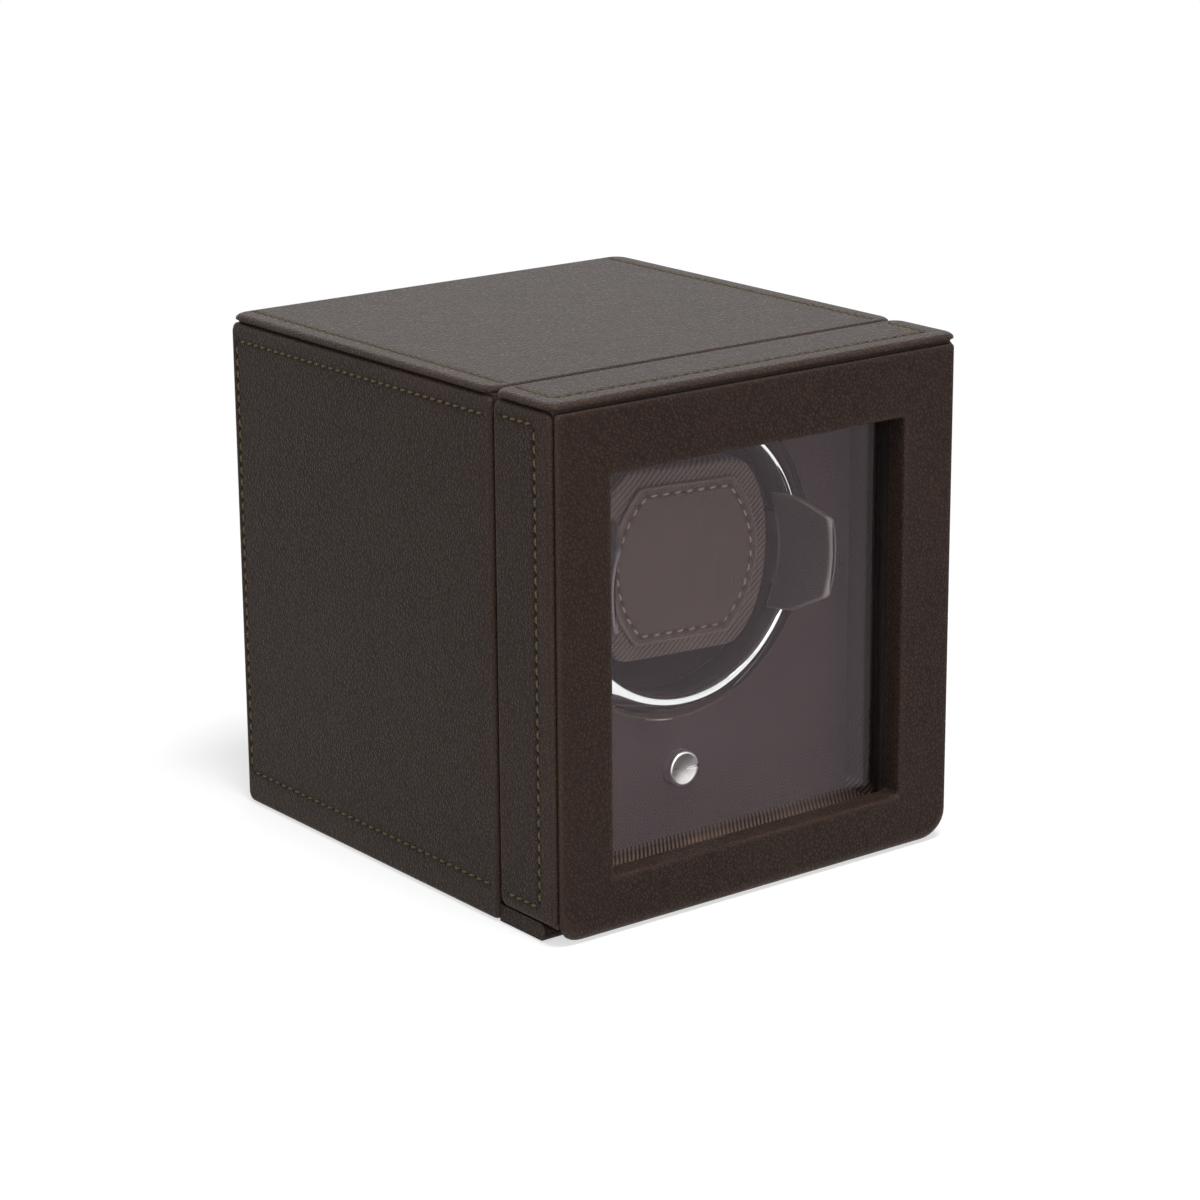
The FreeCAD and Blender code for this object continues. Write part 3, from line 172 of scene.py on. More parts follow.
def leather(name, look):
    # Pebbled grain: rounded cells with painted shade in their creases and a painted highlight on their tops,
    # softer lumps
    #     # under them, lighter rims that are partly wear and partly painted highlight, and painted shade
    #     along the seams.
    made, start, place = material(name)
    drift = start.noise(place, look["grain"] * 2.5)
    bent = start.node("VectorMath", {"operation": "MULTIPLY_ADD"},
                      {0: drift.out("Color"), 1: (look["grain"] * 0.8,) * 3, 2: place})
    pebble = start.cells(bent, look["grain"], "DISTANCE_TO_EDGE").between(0.0, 0.32)    # 0 in a crease
    fine = start.noise(place, look["grain"] * 0.35, 3.0, 0.6)
    lump = start.noise(place, look["lumpSize"])
    cloud = start.noise(place, look["cloudSize"], 3.0)
    # lighter rims: partly wear, partly a painted highlight where the rolled edges catch the light
    wearAndHighlight = start.mark("rim") * (fine * 0.5 + cloud * 0.6)
    creased = (pebble * 0.6 + fine * 0.5).between(0.15, 0.9)
    # painted shade in the creases and a painted highlight on the pebbles' tops
    colour = creased.blend(tint(look["colour"], 0.45), tint(look["colour"], 1.3))
    colour = (cloud.between(0.3, 0.7) * 0.25).blend(colour, tint(look["colour"], 1.25))
    colour = (wearAndHighlight * look["wearAndHighlight"]).blend(colour, rgba(look["wornAndHighlightColour"]))
    # the seam mark is painted shade, darkest in the stitch holes
    colour = (start.mark("seam") * 0.85).blend(colour, tint(look["colour"], 0.2))
    rough = look["rough"] + (fine - 0.5) * 0.16 + (1 - pebble) * 0.1 - wearAndHighlight * 0.08
    normal = start.bump(lump, look["lump"])
    normal = start.bump(pebble * 0.6 + fine * 0.4, look["relief"], normal)
    return finish(made, start, {"Base Color": colour, "Roughness": rough, "Normal": normal, "IOR": 1.5,
                                "Specular IOR Level": look["shine"], "Specular Tint": rgba(look["waxTint"]),
                                "Sheen Weight": look["sheen"], "Sheen Roughness": 0.5,
                                "Sheen Tint": rgba(look["sheenTint"])})


def cloth(name, look):
    # Ribs across a direction in the cloth's plane, each rib made of short slanted floats. With wrap they
    #     # follow the piece's own UV map, with third they run on from the floor up the walls, and with wall
    #     the
    #     # walls above the floor take a plain darker colour, which is painted shade.
    made, start, place = material(name)
    if "wrap" in look:
        place = start.node("UVMap", {"uv_map": look["wrap"]})
    u = place.node("SeparateXYZ", {}, {0: place}, look["axes"][0])
    v = u.out(look["axes"][1])
    if "third" in look:
        v = v + u.out(look["third"])
    wobble = start.noise(place, 0.012) * look["pitch"] * 0.5
    angle = math.radians(look["angle"])
    across = (u * math.sin(angle) - v * math.cos(angle) + wobble) / look["pitch"]
    along = (u * math.cos(angle) + v * math.sin(angle)) / (look["pitch"] * 1.7)
    rib = (across * (2 * math.pi)).wave()
    floats = (along * (2 * math.pi) + across * math.pi).wave()
    fibre = start.noise(place, look["pitch"] * 0.3, 3.0, 0.7)
    height = rib ** 0.7 * (floats * 0.25 + 0.75) + fibre * look["fuzz"]
    patch = start.noise(place, 0.03)
    colour = height.between(0.15, 1.0).blend(tint(look["colour"], look["groove"]), tint(look["colour"], 1.15))
    colour = (patch.between(0.35, 0.7) * 0.35).blend(colour, tint(look["colour"], 1.35))
    # walls above the floor painted a darker colour: painted shade
    if "wall" in look:
        colour = u.out("Z").between(*look["floorEnd"]).blend(colour, rgba(look["wall"]))
    rough = look["rough"] + fibre * 0.12
    normal = start.bump(height, look["relief"])
    return finish(made, start, {"Base Color": colour, "Roughness": rough, "Normal": normal,
                                "Specular IOR Level": look["shine"],
                                "Sheen Weight": look["sheen"], "Sheen Roughness": 0.45})


def satin(name, look):
    # metals, plastics, rubber and board: cloudy colour, streaks or grain in gloss and relief
    made, start, place = material(name)
    stretch = start.node("Mapping", {}, {"Vector": place, "Scale": look.get("stretch", (1, 1, 1))})
    grain = start.noise(stretch, look["grain"], 4.0, 0.6)
    cloud = start.noise(place, look.get("cloud", 0.02), 3.0)
    speck = start.cells(place, look.get("speckSize", 0.002)).between(0.05, 0.3)
    darker, lighter = (tint(look["colour"], 1 + vary) for vary in (-look["vary"], look["vary"]))
    colour = grain.between(0.3, 0.7).blend(darker, lighter)
    colour = ((1 - speck) * look.get("speck", 0.0)).blend(colour, tint(look["colour"], 0.45))
    # rims painted a lighter colour: a painted highlight
    if "rimHighlightColour" in look:
        colour = start.mark("rim").blend(colour, rgba(look["rimHighlightColour"]))
    rough = look["rough"] + (grain - 0.5) * look["roughVary"] + (cloud - 0.5) * look["roughVary"]
    normal = start.bump(grain, look["relief"])
    inputs = {"Base Color": colour, "Roughness": rough, "Normal": normal, "Metallic": look.get("metal", 0.0)}
    if "shine" in look:
        inputs["Specular IOR Level"] = look["shine"]
    return finish(made, start, inputs)


def glassy(name, look):
    # clear float glass with a trace of haze, so that lamps still light what stands behind it
    made, start, place = material(name)
    haze = start.noise(place, 0.02, 3.0).between(0.45, 0.75)
    return finish(made, start, {"Base Color": rgba(look["colour"]), "Roughness": haze * look["haze"],
                                "Transmission Weight": 1.0, "IOR": look["ior"],
                                "Specular IOR Level": look["shine"],
                                "Specular Tint": rgba(look["tint"])}, clear=True)


yarnPlies = 3.0


def yarn(name, colour):
    # sewing thread: plies wound round each other, seen as slanted bands
    made, start, place = material(name)
    along = start.node("UVMap", {"uv_map": "ply"})
    u = start.node("SeparateXYZ", {}, {0: along}, 0)
    twist = ((u * yarnPlies + u.out(1)) * (2 * math.pi)).wave()
    fuzz = start.noise(place, 0.0002)
    mixed = (twist * 0.8 + fuzz * 0.2).blend(tint(colour, 0.55), tint(colour, 1.15))
    normal = start.bump(twist, 0.00006)
    return finish(made, start, {"Base Color": mixed, "Roughness": 0.6 + fuzz * 0.2, "Normal": normal,
                                "Specular IOR Level": 0.2})


leatherLook = {"colour": (0.019, 0.0102, 0.0068), "wornAndHighlightColour": (0.05, 0.033, 0.025), "wearAndHighlight": 0.6, "grain": 0.0012,
               "relief": 0.00027, "lump": 0.00022, "lumpSize": 0.011, "cloudSize": 0.045, "rough": 0.40,
               "shine": 0.09, "waxTint": (1.0, 0.9, 0.86), "sheen": 0.02, "sheenTint": (1.0, 0.9, 0.84)}
# the pad's rim colour is much lighter, mostly a painted highlight on its rounded edge
padLook = {**leatherLook, "colour": (0.06, 0.041, 0.036), "wornAndHighlightColour": (0.16, 0.12, 0.1), "wearAndHighlight": 1.0,
           "grain": 0.0009, "relief": 0.00008, "lump": 0.0001, "rough": 0.5, "shine": 0.15, "sheen": 0.03}
twillLook = {"axes": ("X", "Z"), "colour": (0.045, 0.028, 0.03), "groove": 0.72, "pitch": 0.00117,
             "angle": 53, "relief": 0.00001, "rough": 0.72, "shine": 0.1, "sheen": 0.02, "fuzz": 0.0}
cuffClothLook = {"axes": ("X", "Y"), "wrap": "wrap", "colour": (0.085, 0.062, 0.052), "groove": 0.25,
                 "pitch": 0.00138, "angle": 42, "relief": 0.00006, "rough": 0.72, "shine": 0.15,
                 "sheen": 0.03, "fuzz": 0.0}
# the lining's walls take the darker wall colour, painted shade; its floor keeps the lighter ribs
liningLook = {"axes": ("X", "Y"), "third": "Z", "colour": (0.15, 0.1, 0.08), "wall": (0.03, 0.019, 0.02),
              "floorEnd": (0.008, 0.012), "groove": 0.05, "pitch": 0.00117, "angle": 53, "relief": 0.00008,
              "rough": 0.75, "shine": 0.1, "sheen": 0.02, "fuzz": 0.05}
finishes = {
    "leather_panel": leather("pebbledLeather", leatherLook),
    "pad_leather": leather("padLeather", padLook),
    "lining_cloth": cloth("ribbedLining", liningLook),
    "cuff_cloth": cloth("cuffTwill", cuffClothLook),
    "window_glass": glassy("windowGlass", {
        "colour": (0.97, 0.975, 0.97), "haze": 0.003, "ior": 1.31, "shine": 0.5, "tint": (1.0, 0.77, 0.85)}),
    "chrome_trim": satin("chrome", {
        "colour": (0.86, 0.86, 0.87), "vary": 0.02, "grain": 0.004, "rough": 0.05, "roughVary": 0.04,
        "relief": 0.000002, "metal": 1.0}),
    "hinge_steel": satin("satinSteel", {
        "colour": (0.6, 0.6, 0.61), "vary": 0.05, "grain": 0.0004, "cloud": 0.01, "stretch": (0.05, 1, 1),
        "rough": 0.3, "roughVary": 0.15, "relief": 0.000004, "metal": 1.0}),
    "black_plastic": satin("mouldedBlack", {
        "colour": (0.024, 0.02, 0.02), "vary": 0.1, "grain": 0.002, "rough": 0.42, "roughVary": 0.08,
        "relief": 0.000004, "shine": 0.2}),
    # the ear's rims get a much lighter colour, a painted highlight
    "ear_plastic": satin("earPlastic", {
        "colour": (0.019, 0.0135, 0.0135), "rimHighlightColour": (0.13, 0.105, 0.1), "vary": 0.06, "grain": 0.004,
        "rough": 0.34, "roughVary": 0.06, "relief": 0.000002, "shine": 0.5}),
    "gear_nylon": satin("nylon", {
        "colour": (0.78, 0.76, 0.7), "vary": 0.04, "grain": 0.0012, "rough": 0.45, "roughVary": 0.1,
        "relief": 0.000008}),
    "bush_bronze": satin("sinteredBronze", {
        "colour": (0.5, 0.34, 0.17), "vary": 0.2, "grain": 0.0003, "speck": 0.7, "speckSize": 0.0006,
        "rough": 0.42, "roughVary": 0.2, "relief": 0.00001, "metal": 1.0}),
    "plate_metal": satin("brushedPlate", {
        "colour": (0.62, 0.63, 0.64), "vary": 0.05, "grain": 0.0005, "stretch": (0.04, 1, 1), "rough": 0.33,
        "roughVary": 0.16, "relief": 0.000005, "metal": 1.0}),
    "circuit_laminate": satin("greenLaminate", {
        "colour": (0.03, 0.17, 0.07), "vary": 0.15, "grain": 0.0006, "speck": 0.5, "speckSize": 0.004,
        "rough": 0.32, "roughVary": 0.1, "relief": 0.00001}),
    "carcass_board": satin("stainedBoard", {
        "colour": (0.03, 0.021, 0.017), "vary": 0.35, "grain": 0.0005, "stretch": (0.4, 1, 1), "speck": 0.5,
        "speckSize": 0.0009, "rough": 0.7, "roughVary": 0.15, "relief": 0.00003, "shine": 0.25}),
    "lead_cover": satin("leadCover", {
        "colour": (0.02, 0.02, 0.02), "vary": 0.15, "grain": 0.0006, "rough": 0.5, "roughVary": 0.1,
        "relief": 0.00001}),
    "foot_rubber": satin("footRubber", {
        "colour": (0.028, 0.028, 0.028), "vary": 0.2, "grain": 0.0004, "rough": 0.8, "roughVary": 0.1,
        "relief": 0.00002}),
}
fasciaTwill = cloth("fasciaTwill", twillLook)
knobMetal = satin("knobMetal", {
    "colour": (0.92, 0.89, 0.89), "vary": 0.05, "grain": 0.0012, "cloud": 0.004, "rough": 0.3,
    "roughVary": 0.1, "relief": 0.000004, "metal": 1.0})
panelThread = yarn("panelThread", (0.085, 0.062, 0.026))
padThread = yarn("padThread", (0.27, 0.19, 0.15))

for part in frame["record"]["subparts"]:
    mesh = nodes[part["node"]].data
    mesh.materials.clear()
    mesh.materials.append(finishes[part["material_slot"]])
nodes["fascia_cloth"].data.materials[0] = fasciaTwill
nodes["base_board"].data.materials[0] = finishes["leather_panel"]
for magnets in ("case_magnets", "cover_magnets"):
    nodes[magnets].data.materials[0] = finishes["black_plastic"]    # coated black
print("finishes made:", len(finishes) + 4)


def tube(count, around, looped):
    # Faces over rings of points, numbered ring by ring: neighbours on a ring and on the next ring make a
    # quad, and each end is a fan round one of two points that follow the rings. Looped, the ends meet.
    ring = np.arange(around)
    after = (ring + 1) % around
    step = np.arange(count if looped else count - 1)
    lower, upper = step[:, None] * around, (step[:, None] + 1) % count * around
    quads = np.stack((lower + ring, lower + after, upper + after, upper + ring), -1).reshape(-1, 4)
    if looped:
        return quads, np.zeros((0, 3), int)
    start, last = count * around, (count - 1) * around
    return quads, np.vstack((np.stack((after, ring, np.full(around, start)), -1),
                             np.stack((last + ring, last + after, np.full(around, start + 1)), -1)))


def outwards(points, quads, fans):
    # faces turned over where they enclose a negative volume, because then they point inwards
    halves = np.vstack((quads[:, [0, 1, 2]], quads[:, [0, 2, 3]], fans))
    a, b, c = points[halves[:, 0]], points[halves[:, 1]], points[halves[:, 2]]
    if (a * np.cross(b, c)).sum() < 0:
        return quads[:, ::-1], fans[:, ::-1]
    return quads, fans


def smoothMesh(name, points, quads, fans):
    # points are in millimetres
    mesh = bpy.data.meshes.new(name)
    mesh.from_pydata((points * mm).tolist(), [], quads.tolist() + fans.tolist())
    mesh.polygons.foreach_set("use_smooth", np.ones(len(mesh.polygons), bool))
    return mesh


def writeMap(mesh, name, places):
    # a UV map from one place for each point
    corner = np.zeros(len(mesh.loops), int)
    mesh.loops.foreach_get("vertex_index", corner)
    mesh.uv_layers.new(name=name).data.foreach_set("uv", places[corner].astype(np.float32).reshape(-1))


def settle(name, mesh, body, slot, replaces=(), finishOf=None):
    # puts a finished mesh on its body; its finish is its slot's unless another one is given
    mesh.validate()
    mesh.update()
    mesh.materials.append(finishOf or finishes[slot])
    piece = bpy.data.objects.new(name, mesh)
    scene.collection.objects.link(piece)
    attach(piece, body)
    if replaces:
        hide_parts(*replaces)
    return piece


def skin(name, rows, body, slot, looped=False, marks=None, wrap=None, replaces=(), finishOf=None):
    # A closed surface over rings of points. Its ends close on the middle of their ring, or on each other when
    # looped. Marks are named values at the points, for the materials, and wrap is a UV map.
    count, around = rows.shape[:2]
    points = rows.reshape(-1, 3)
    if not looped:
        points = np.vstack((points, rows[0].mean(0), rows[-1].mean(0)))
    mesh = smoothMesh(name, points, *outwards(points, *tube(count, around, looped)))
    for key, values in (marks or {}).items():
        full = np.zeros(len(points))
        full[:count * around] = np.asarray(values).reshape(-1)
        mesh.attributes.new(key, "FLOAT", "POINT").data.foreach_set("value", full.astype(np.float32))
    if wrap is not None:
        writeMap(mesh, "wrap", np.vstack((wrap.reshape(-1, 2), wrap[0].mean(0), wrap[-1].mean(0))))
    return settle(name, mesh, body, slot, replaces, finishOf)


cornerSteps = 5     # an arc at a corner takes this many steps from one side to the next
sideNames = ("bottom", "right", "top", "left")


def roundedRings(low, high, insets, rounds, steps, turnSteps=cornerSteps):
    # Rounded rectangles, a row for each line of insets. A side runs from its corner plus the corner's radius
    # to the next corner less its radius, and an arc turns into the next side. The second result says how
    # much each of the four sides counts at each point.
    way = np.array([[1, 0], [0, 1], [-1, 0], [0, -1]], float)
    bottom, right, top, left = insets.T
    x0, x1, y0, y1 = low[0] + left, high[0] - right, low[1] + bottom, high[1] - top
    corners = np.stack([np.stack(pair, -1) for pair in ((x0, y0), (x1, y0), (x1, y1), (x0, y1))], 1)
    turn = np.linspace(0, math.pi / 2, turnSteps + 1)[1:-1]
    parts, shares = [], []
    for side in range(4):
        ahead = (side + 1) % 4
        along = np.linspace(0, 1, steps[side] + 1)[:, None]
        start = corners[:, side] + rounds[:, side, None] * way[side]
        end = corners[:, ahead] - rounds[:, ahead, None] * way[side]
        parts.append(start[:, None] * (1 - along) + end[:, None] * along)
        centre = end + rounds[:, ahead, None] * way[ahead]
        spoke = np.sin(turn)[:, None] * way[side] - np.cos(turn)[:, None] * way[ahead]
        parts.append(centre[:, None] + rounds[:, ahead, None, None] * spoke)
        share = np.zeros((steps[side] + 1 + len(turn), 4))
        share[:, side] = np.concatenate((np.ones(steps[side] + 1), np.cos(turn) ** 2))
        share[:, ahead] = np.concatenate((np.zeros(steps[side] + 1), np.sin(turn) ** 2))
        shares.append(share)
    return np.concatenate(parts, 1), np.concatenate(shares)


# the axis a face looks along, its sign, and the two axes of its plane
faces = {"-X": (0, -1, 1, 2), "+X": (0, 1, 1, 2), "+Z": (2, 1, 0, 1), "+Y": (1, 1, 0, 2), "-Y": (1, -1, 0, 2)}


def frameOf(node, face):
    # a panel's own plane: where its outer face lies, and its low and high corners there, in millimetres
    axis, sign, u, v = faces[face]
    low, high = (np.array(corner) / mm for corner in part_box(node))
    return axis, sign, u, v, (high if sign > 0 else low)[axis], low[[u, v]], high[[u, v]]


def onFace(node, face, flat, depth):
    # points of a panel's plane, sunk by depth below its outer face
    axis, sign, u, v, level, low, high = frameOf(node, face)
    points = np.zeros(flat.shape[:-1] + (3,))
    points[..., u], points[..., v] = flat[..., 0], flat[..., 1]
    points[..., axis] = level - sign * depth
    return points


def softWave(flat, height):
    # very shallow swells, from three sine waves that cross
    u, v = flat[..., 0], flat[..., 1]
    return height * (np.sin(u / 11 + v / 17) + np.sin(v / 13 - u / 19 + 1) + np.sin((u + v) / 29 + 2) + 3) / 6


def stitches(name, centres, tangents, normals, look, body, slot, thread):
    # Thread bumps: a ring whose radius follows a half ellipse along the stitch, lifted in the middle, and
    # dipping into the holes at its ends.
    along = np.array([0.04, 0.16, 0.36, 0.64, 0.84, 0.96])
    around = np.linspace(0, 2 * math.pi, 7)[:-1]
    swell = (1 - (2 * along - 1) ** 2) ** 0.4
    sides = np.cross(normals, tangents)
    slant = math.radians(look["slant"])
    tangents = tangents * math.cos(slant) + sides * math.sin(slant)
    sides = np.cross(normals, tangents)
    reach = np.concatenate(([0.0], along, [1.0])) - 0.5
    lift = look["thick"] * (0.55 * np.cos(reach * math.pi) - 0.25)
    thick = np.concatenate(([0.0], swell, [0.0])) * look["thick"] / 2
    run = tangents[:, None] * (reach * look["long"])[:, None]
    spine = centres[:, None] + run + normals[:, None] * lift[:, None]
    spoke = sides[:, None] * np.cos(around)[:, None] * look["flat"]
    spoke = spoke + normals[:, None] * np.sin(around)[:, None]
    rings = spine[:, 1:-1, None] + spoke[:, None] * thick[1:-1, None, None]
    total, rows, steps = rings.shape[:3]
    points = np.concatenate((rings.reshape(total, -1, 3), spine[:, [0, -1]]), 1)
    each = points.shape[1]
    quads, fans = outwards(points[0] - points[0].mean(0), *tube(rows, steps, False))
    shift = (np.arange(total) * each)[:, None, None]
    mesh = smoothMesh(name, points.reshape(-1, 3), (quads + shift).reshape(-1, 4),
                      (fans + shift).reshape(-1, 3))
    ply = np.zeros((each, 2))
    ply[:-2, 0] = np.repeat(along, steps)
    ply[:-2, 1] = np.tile(around / (2 * math.pi), rows)
    ply[-1, 0] = 1.0
    writeMap(mesh, "ply", np.tile(ply, (total, 1)))
    settle(name, mesh, body, slot, finishOf=thread)


panelLook = {"edge": 1.25, "corner": 2.4, "innerCorner": 1.3, "unsewn": 2.4, "groove": 0.32, "pitch": 3.68,
             "swell": 0.05, "thick": 1.8}
threadLook = {"long": 2.7, "thick": 0.7, "flat": 1.15, "slant": 9}
sideSeams = {"top": 5.2, "bottom": 9.9, "right": 2.9}       # each seam's distance from the panel's edge
coverSeams = {"left": 6.5, "top": 4.1, "bottom": 4.2}
# edges are rim radii that differ from the usual one, and drop is how far the top edge is lowered
panels = {
    "left_panel": {"face": "-X", "body": "case", "seams": sideSeams, "drop": 0.5},
    "right_panel": {"face": "+X", "body": "case", "seams": sideSeams, "drop": 0.5},
    "top_panel": {"face": "+Z", "body": "case", "seams": {"left": 6.6, "right": 6.2},
                  "edges": {"left": 1.6, "right": 1.6, "top": 1.6, "bottom": 1.2}, "corner": 4.0},
    "back_panel": {"face": "+Y", "body": "case", "hole": (35.0, 19.0, 7.3),     # its place and its radius
                   "seams": {"top": 5.7, "bottom": 9.9, "left": 5.0, "right": 5.0}},
    "cover_left_panel": {"face": "-X", "body": "cover", "seams": coverSeams, "drop": 0.5},
    "cover_right_panel": {"face": "+X", "body": "cover", "seams": coverSeams, "drop": 0.5},
    "cover_top_panel": {"face": "+Z", "body": "cover", "seams": {"bottom": 7.0, "left": 6.2, "right": 6.2},
                        "edges": {"left": 1.6, "right": 1.6, "bottom": 1.6, "top": 1.2}, "corner": 3.6},
}
quarterTurn = np.linspace(0, math.pi / 2, 6)
besideSeam = np.array([-1.7, -1.0, -0.5, -0.22, 0.0, 0.22, 0.5, 1.0, 1.8])      # rings beside a seam, in mm
grooveShape = np.array([0.0, 0.16, 0.45, 0.85, 1.0, 0.85, 0.45, 0.14, 0.0])     # their share of its depth


def leatherPanel(node, face, body, seams, edges=None, corner=None, drop=0.0, hole=None):
    # Rings of a rounded rectangle: out of the back, round the rim as a quarter circle, over a soft roll, down
    # and up through the stitched groove, and in to the middle or to a round hole.
    look, edges = panelLook, edges or {}
    axis, sign, u, v, level, low, high = frameOf(node, face)
    high[1] -= drop
    size = high - low
    seam = np.array([seams.get(side, look["unsewn"]) for side in sideNames])
    sewn = np.array([float(side in seams) for side in sideNames])
    radius = np.array([edges.get(side, look["edge"]) for side in sideNames])
    corner = corner or look["corner"]
    thick, inner = look["thick"], look["innerCorner"]
    runs = [size[0] - seam[1] - seam[3], size[1] - seam[0] - seam[2]] * 2
    steps = [2 * max(1, round(run / look["pitch"])) for run in runs]
    rings = []      # insets, depths, corner radii, share of the groove, wear and painted highlight of the rim

    def add(inset, depth, arc, groove=0.0, rim=0.0):
        rings.append((np.broadcast_to(inset, 4), np.broadcast_to(depth, 4), np.full(4, arc), groove, rim))

    add(2.0, thick, corner)
    add(0.3, thick, corner, rim=0.1)
    add(0.0, thick - 0.25, corner, rim=0.4)
    for turn in quarterTurn:
        add(radius * (1 - math.cos(turn)), np.minimum(radius, thick - 0.3) * (1 - math.sin(turn)), corner,
            rim=math.sin(2 * turn) * 0.6 + 0.4)
    rimRings = len(rings)
    for beside, share in zip(besideSeam, grooveShape):
        roll = radius + 0.15 + (beside - besideSeam[0]) * 0.1
        add(np.maximum(seam + beside, roll), 0.0, inner, share, 0.12 if beside < 0 else 0.0)
    if not hole:
        middle = np.array([size[1], size[0], size[1], size[0]]) / 2
        for share in (0.04, 0.1, 0.2, 0.34, 0.5, 0.66, 0.8, 0.9, 0.97):
            add((seam + besideSeam[-1]) * (1 - share) + middle * share, 0.0, inner * (1 - share))
    insets, depths, rounds, groove, rim = (np.array(column) for column in zip(*rings))
    flat, shares = roundedRings(low, high, insets, rounds, steps)
    starts = np.cumsum([0] + [count + cornerSteps for count in steps])      # each side's first point
    hollow = np.zeros(starts[-1])
    for at, count in zip(starts, steps):
        hollow[at:at + count + 1:2] = 1.0       # the thread goes through at every second point
    dip = groove[:, None] * ((shares @ sewn) * (0.82 + 0.5 * hollow))
    inside = np.clip((flat - low) / 6, 0, 1) * np.clip((high - flat) / 6, 0, 1)
    depth = depths @ shares.T + dip * look["groove"] + softWave(flat, look["swell"]) * inside.prod(-1)
    # seam: painted shade along the groove, darkest in the stitch holes; rim: wear and painted highlight
    marks = {"rim": rim[:, None] * np.ones_like(dip), "seam": np.clip(dip * (0.05 + 0.95 * hollow), 0, 1)}
    if hole:        # the seam's outline turns into a circle, which goes down through the leather
        centre, holeRadius = np.array(hole[:2]), hole[2]
        spoke = flat[-1] - centre
        spoke /= np.linalg.norm(spoke, axis=1)[:, None]
        rims = [(flat[-1] * (1 - share) + (centre + spoke * holeRadius) * share, 0.0)
                for share in (0.08, 0.25, 0.5, 0.75, 0.93)]
        rims += [(centre + spoke * (holeRadius + grow), down)
                 for grow, down in ((0.15, 0.05), (0.0, 0.2), (0.0, thick - 0.1), (0.2, thick))]
        flat = np.concatenate((flat, [ring for ring, down in rims]))
        depth = np.concatenate((depth, [np.full(len(spoke), down) for ring, down in rims]))
        marks = {key: np.vstack((value, np.zeros((len(rims), len(spoke))))) for key, value in marks.items()}
    points = onFace(node, face, flat, depth)
    skin(node + "_cover", points, body, "leather_panel", bool(hole), marks, replaces=(node,))
    track = points[rimRings + len(grooveShape) // 2]
    normal = np.zeros(3)
    normal[axis] = sign
    centres, tangents = [], []
    for at, count, stitched in zip(starts, steps, sewn):
        if stitched:
            odd = np.arange(at + 1, at + count, 2)
            centres.append((track[odd - 1] + track[odd + 1]) / 2 + normal * look["groove"] * 0.35)
            tangents.append(track[odd + 1] - track[odd - 1])
    centres, tangents = np.concatenate(centres), np.concatenate(tangents)
    tangents /= np.linalg.norm(tangents, axis=1)[:, None]
    stitches(node + "_thread", centres, tangents, np.tile(normal, (len(centres), 1)), threadLook, body,
             "leather_panel", panelThread)


for node, panel in panels.items():
    leatherPanel(node, **panel)
print("panels covered")


frontLook = {"edge": 0.8, "curl": 3.0, "sheet": 1.8, "rebate": 1.3, "bottomCorner": 8.0, "topCorner": 1.2,
             "window": (16.5, 18.5, 18.9, 18.5), "windowCorner": 1.6, "windowEdge": 1.1, "reveal": 0.8,
             "deep": 6.9, "swell": 0.05, "steps": [70, 74, 70, 74]}


def frontPanel():
    # One closed band of rings: up the back, round the outer rim (a full curl at the bottom), across the face,
    # round the window's rim, down the reveal and back behind it.
    look = frontLook
    curl, sheet, side, deep = look["curl"], look["sheet"], look["edge"], look["deep"]
    window = np.array(look["window"])
    outer = np.array([look["bottomCorner"], look["bottomCorner"], look["topCorner"], look["topCorner"]])
    inner = np.full(4, look["windowCorner"])
    rows = []       # insets, depths, corner radii, wear and painted highlight of the rim

    def add(bottom, sides, top, rim=0.0):
        # an inset and a depth each for the bottom, for both sides and for the top
        insets, depths = np.array([bottom, sides, top, sides]).T
        rows.append((insets, depths, outer, rim))

    back = curl - sheet
    rebate = look["rebate"]
    add((curl + 1, sheet), (3.0, sheet), (3.0, sheet))
    add((curl, sheet), (1.0, sheet), (1.0, sheet))
    add((curl - back * 0.71, curl - back * 0.71), (0.9, rebate), (0.3, sheet))
    add((sheet, curl), (0.2, rebate), (0.1, sheet - 0.1), rim=0.2)
    add((0.25, curl), (0.05, rebate - 0.1), (0.0, sheet - 0.3), rim=0.3)
    for turn in np.linspace(0, math.pi / 2, 8):
        inward, down = 1 - math.cos(turn), 1 - math.sin(turn)
        add((curl * inward, curl * down), (side * inward, side * down), (side * inward, side * down),
            rim=0.4 + 0.6 * math.sin(2 * turn))
    grow = look["windowEdge"]
    for share, down in ((0.06, 0.0), (0.2, 0.02), (0.5, 0.06), (0.8, 0.02), (0.95, 0.0)):
        insets = np.array([curl, side, side, side]) * (1 - share) + (window - grow) * share
        rows.append((insets, np.full(4, down), outer * (1 - share) + inner * share, 0.0))
    for turn in np.linspace(math.pi / 2, 0, 7):
        rows.append((window - grow * (1 - math.cos(turn)), np.full(4, grow * (1 - math.sin(turn))), inner,
                     0.3 + 0.5 * math.sin(2 * turn)))
    reveal = look["reveal"]
    for under, down in ((0.0, deep - 0.1), (0.1, deep), (reveal, deep), (reveal + 0.02, sheet + 0.02)):
        rows.append((window - under, np.full(4, down), inner, 0.0))
    insets, depths, rounds, rim = (np.array(column) for column in zip(*rows))
    axis, sign, u, v, level, low, high = frameOf("front_panel", "-Y")
    flat, shares = roundedRings(low, high, insets, rounds, look["steps"], 8)
    depth = depths @ shares.T
    depth = depth + (depth < 0.2) * softWave(flat, look["swell"])
    skin("front_panel_cover", onFace("front_panel", "-Y", flat, depth), "cover", "leather_panel", True,
         {"rim": rim[:, None] * np.ones_like(depth)}, replaces=("front_panel",))


frontPanel()
print("front panel made")


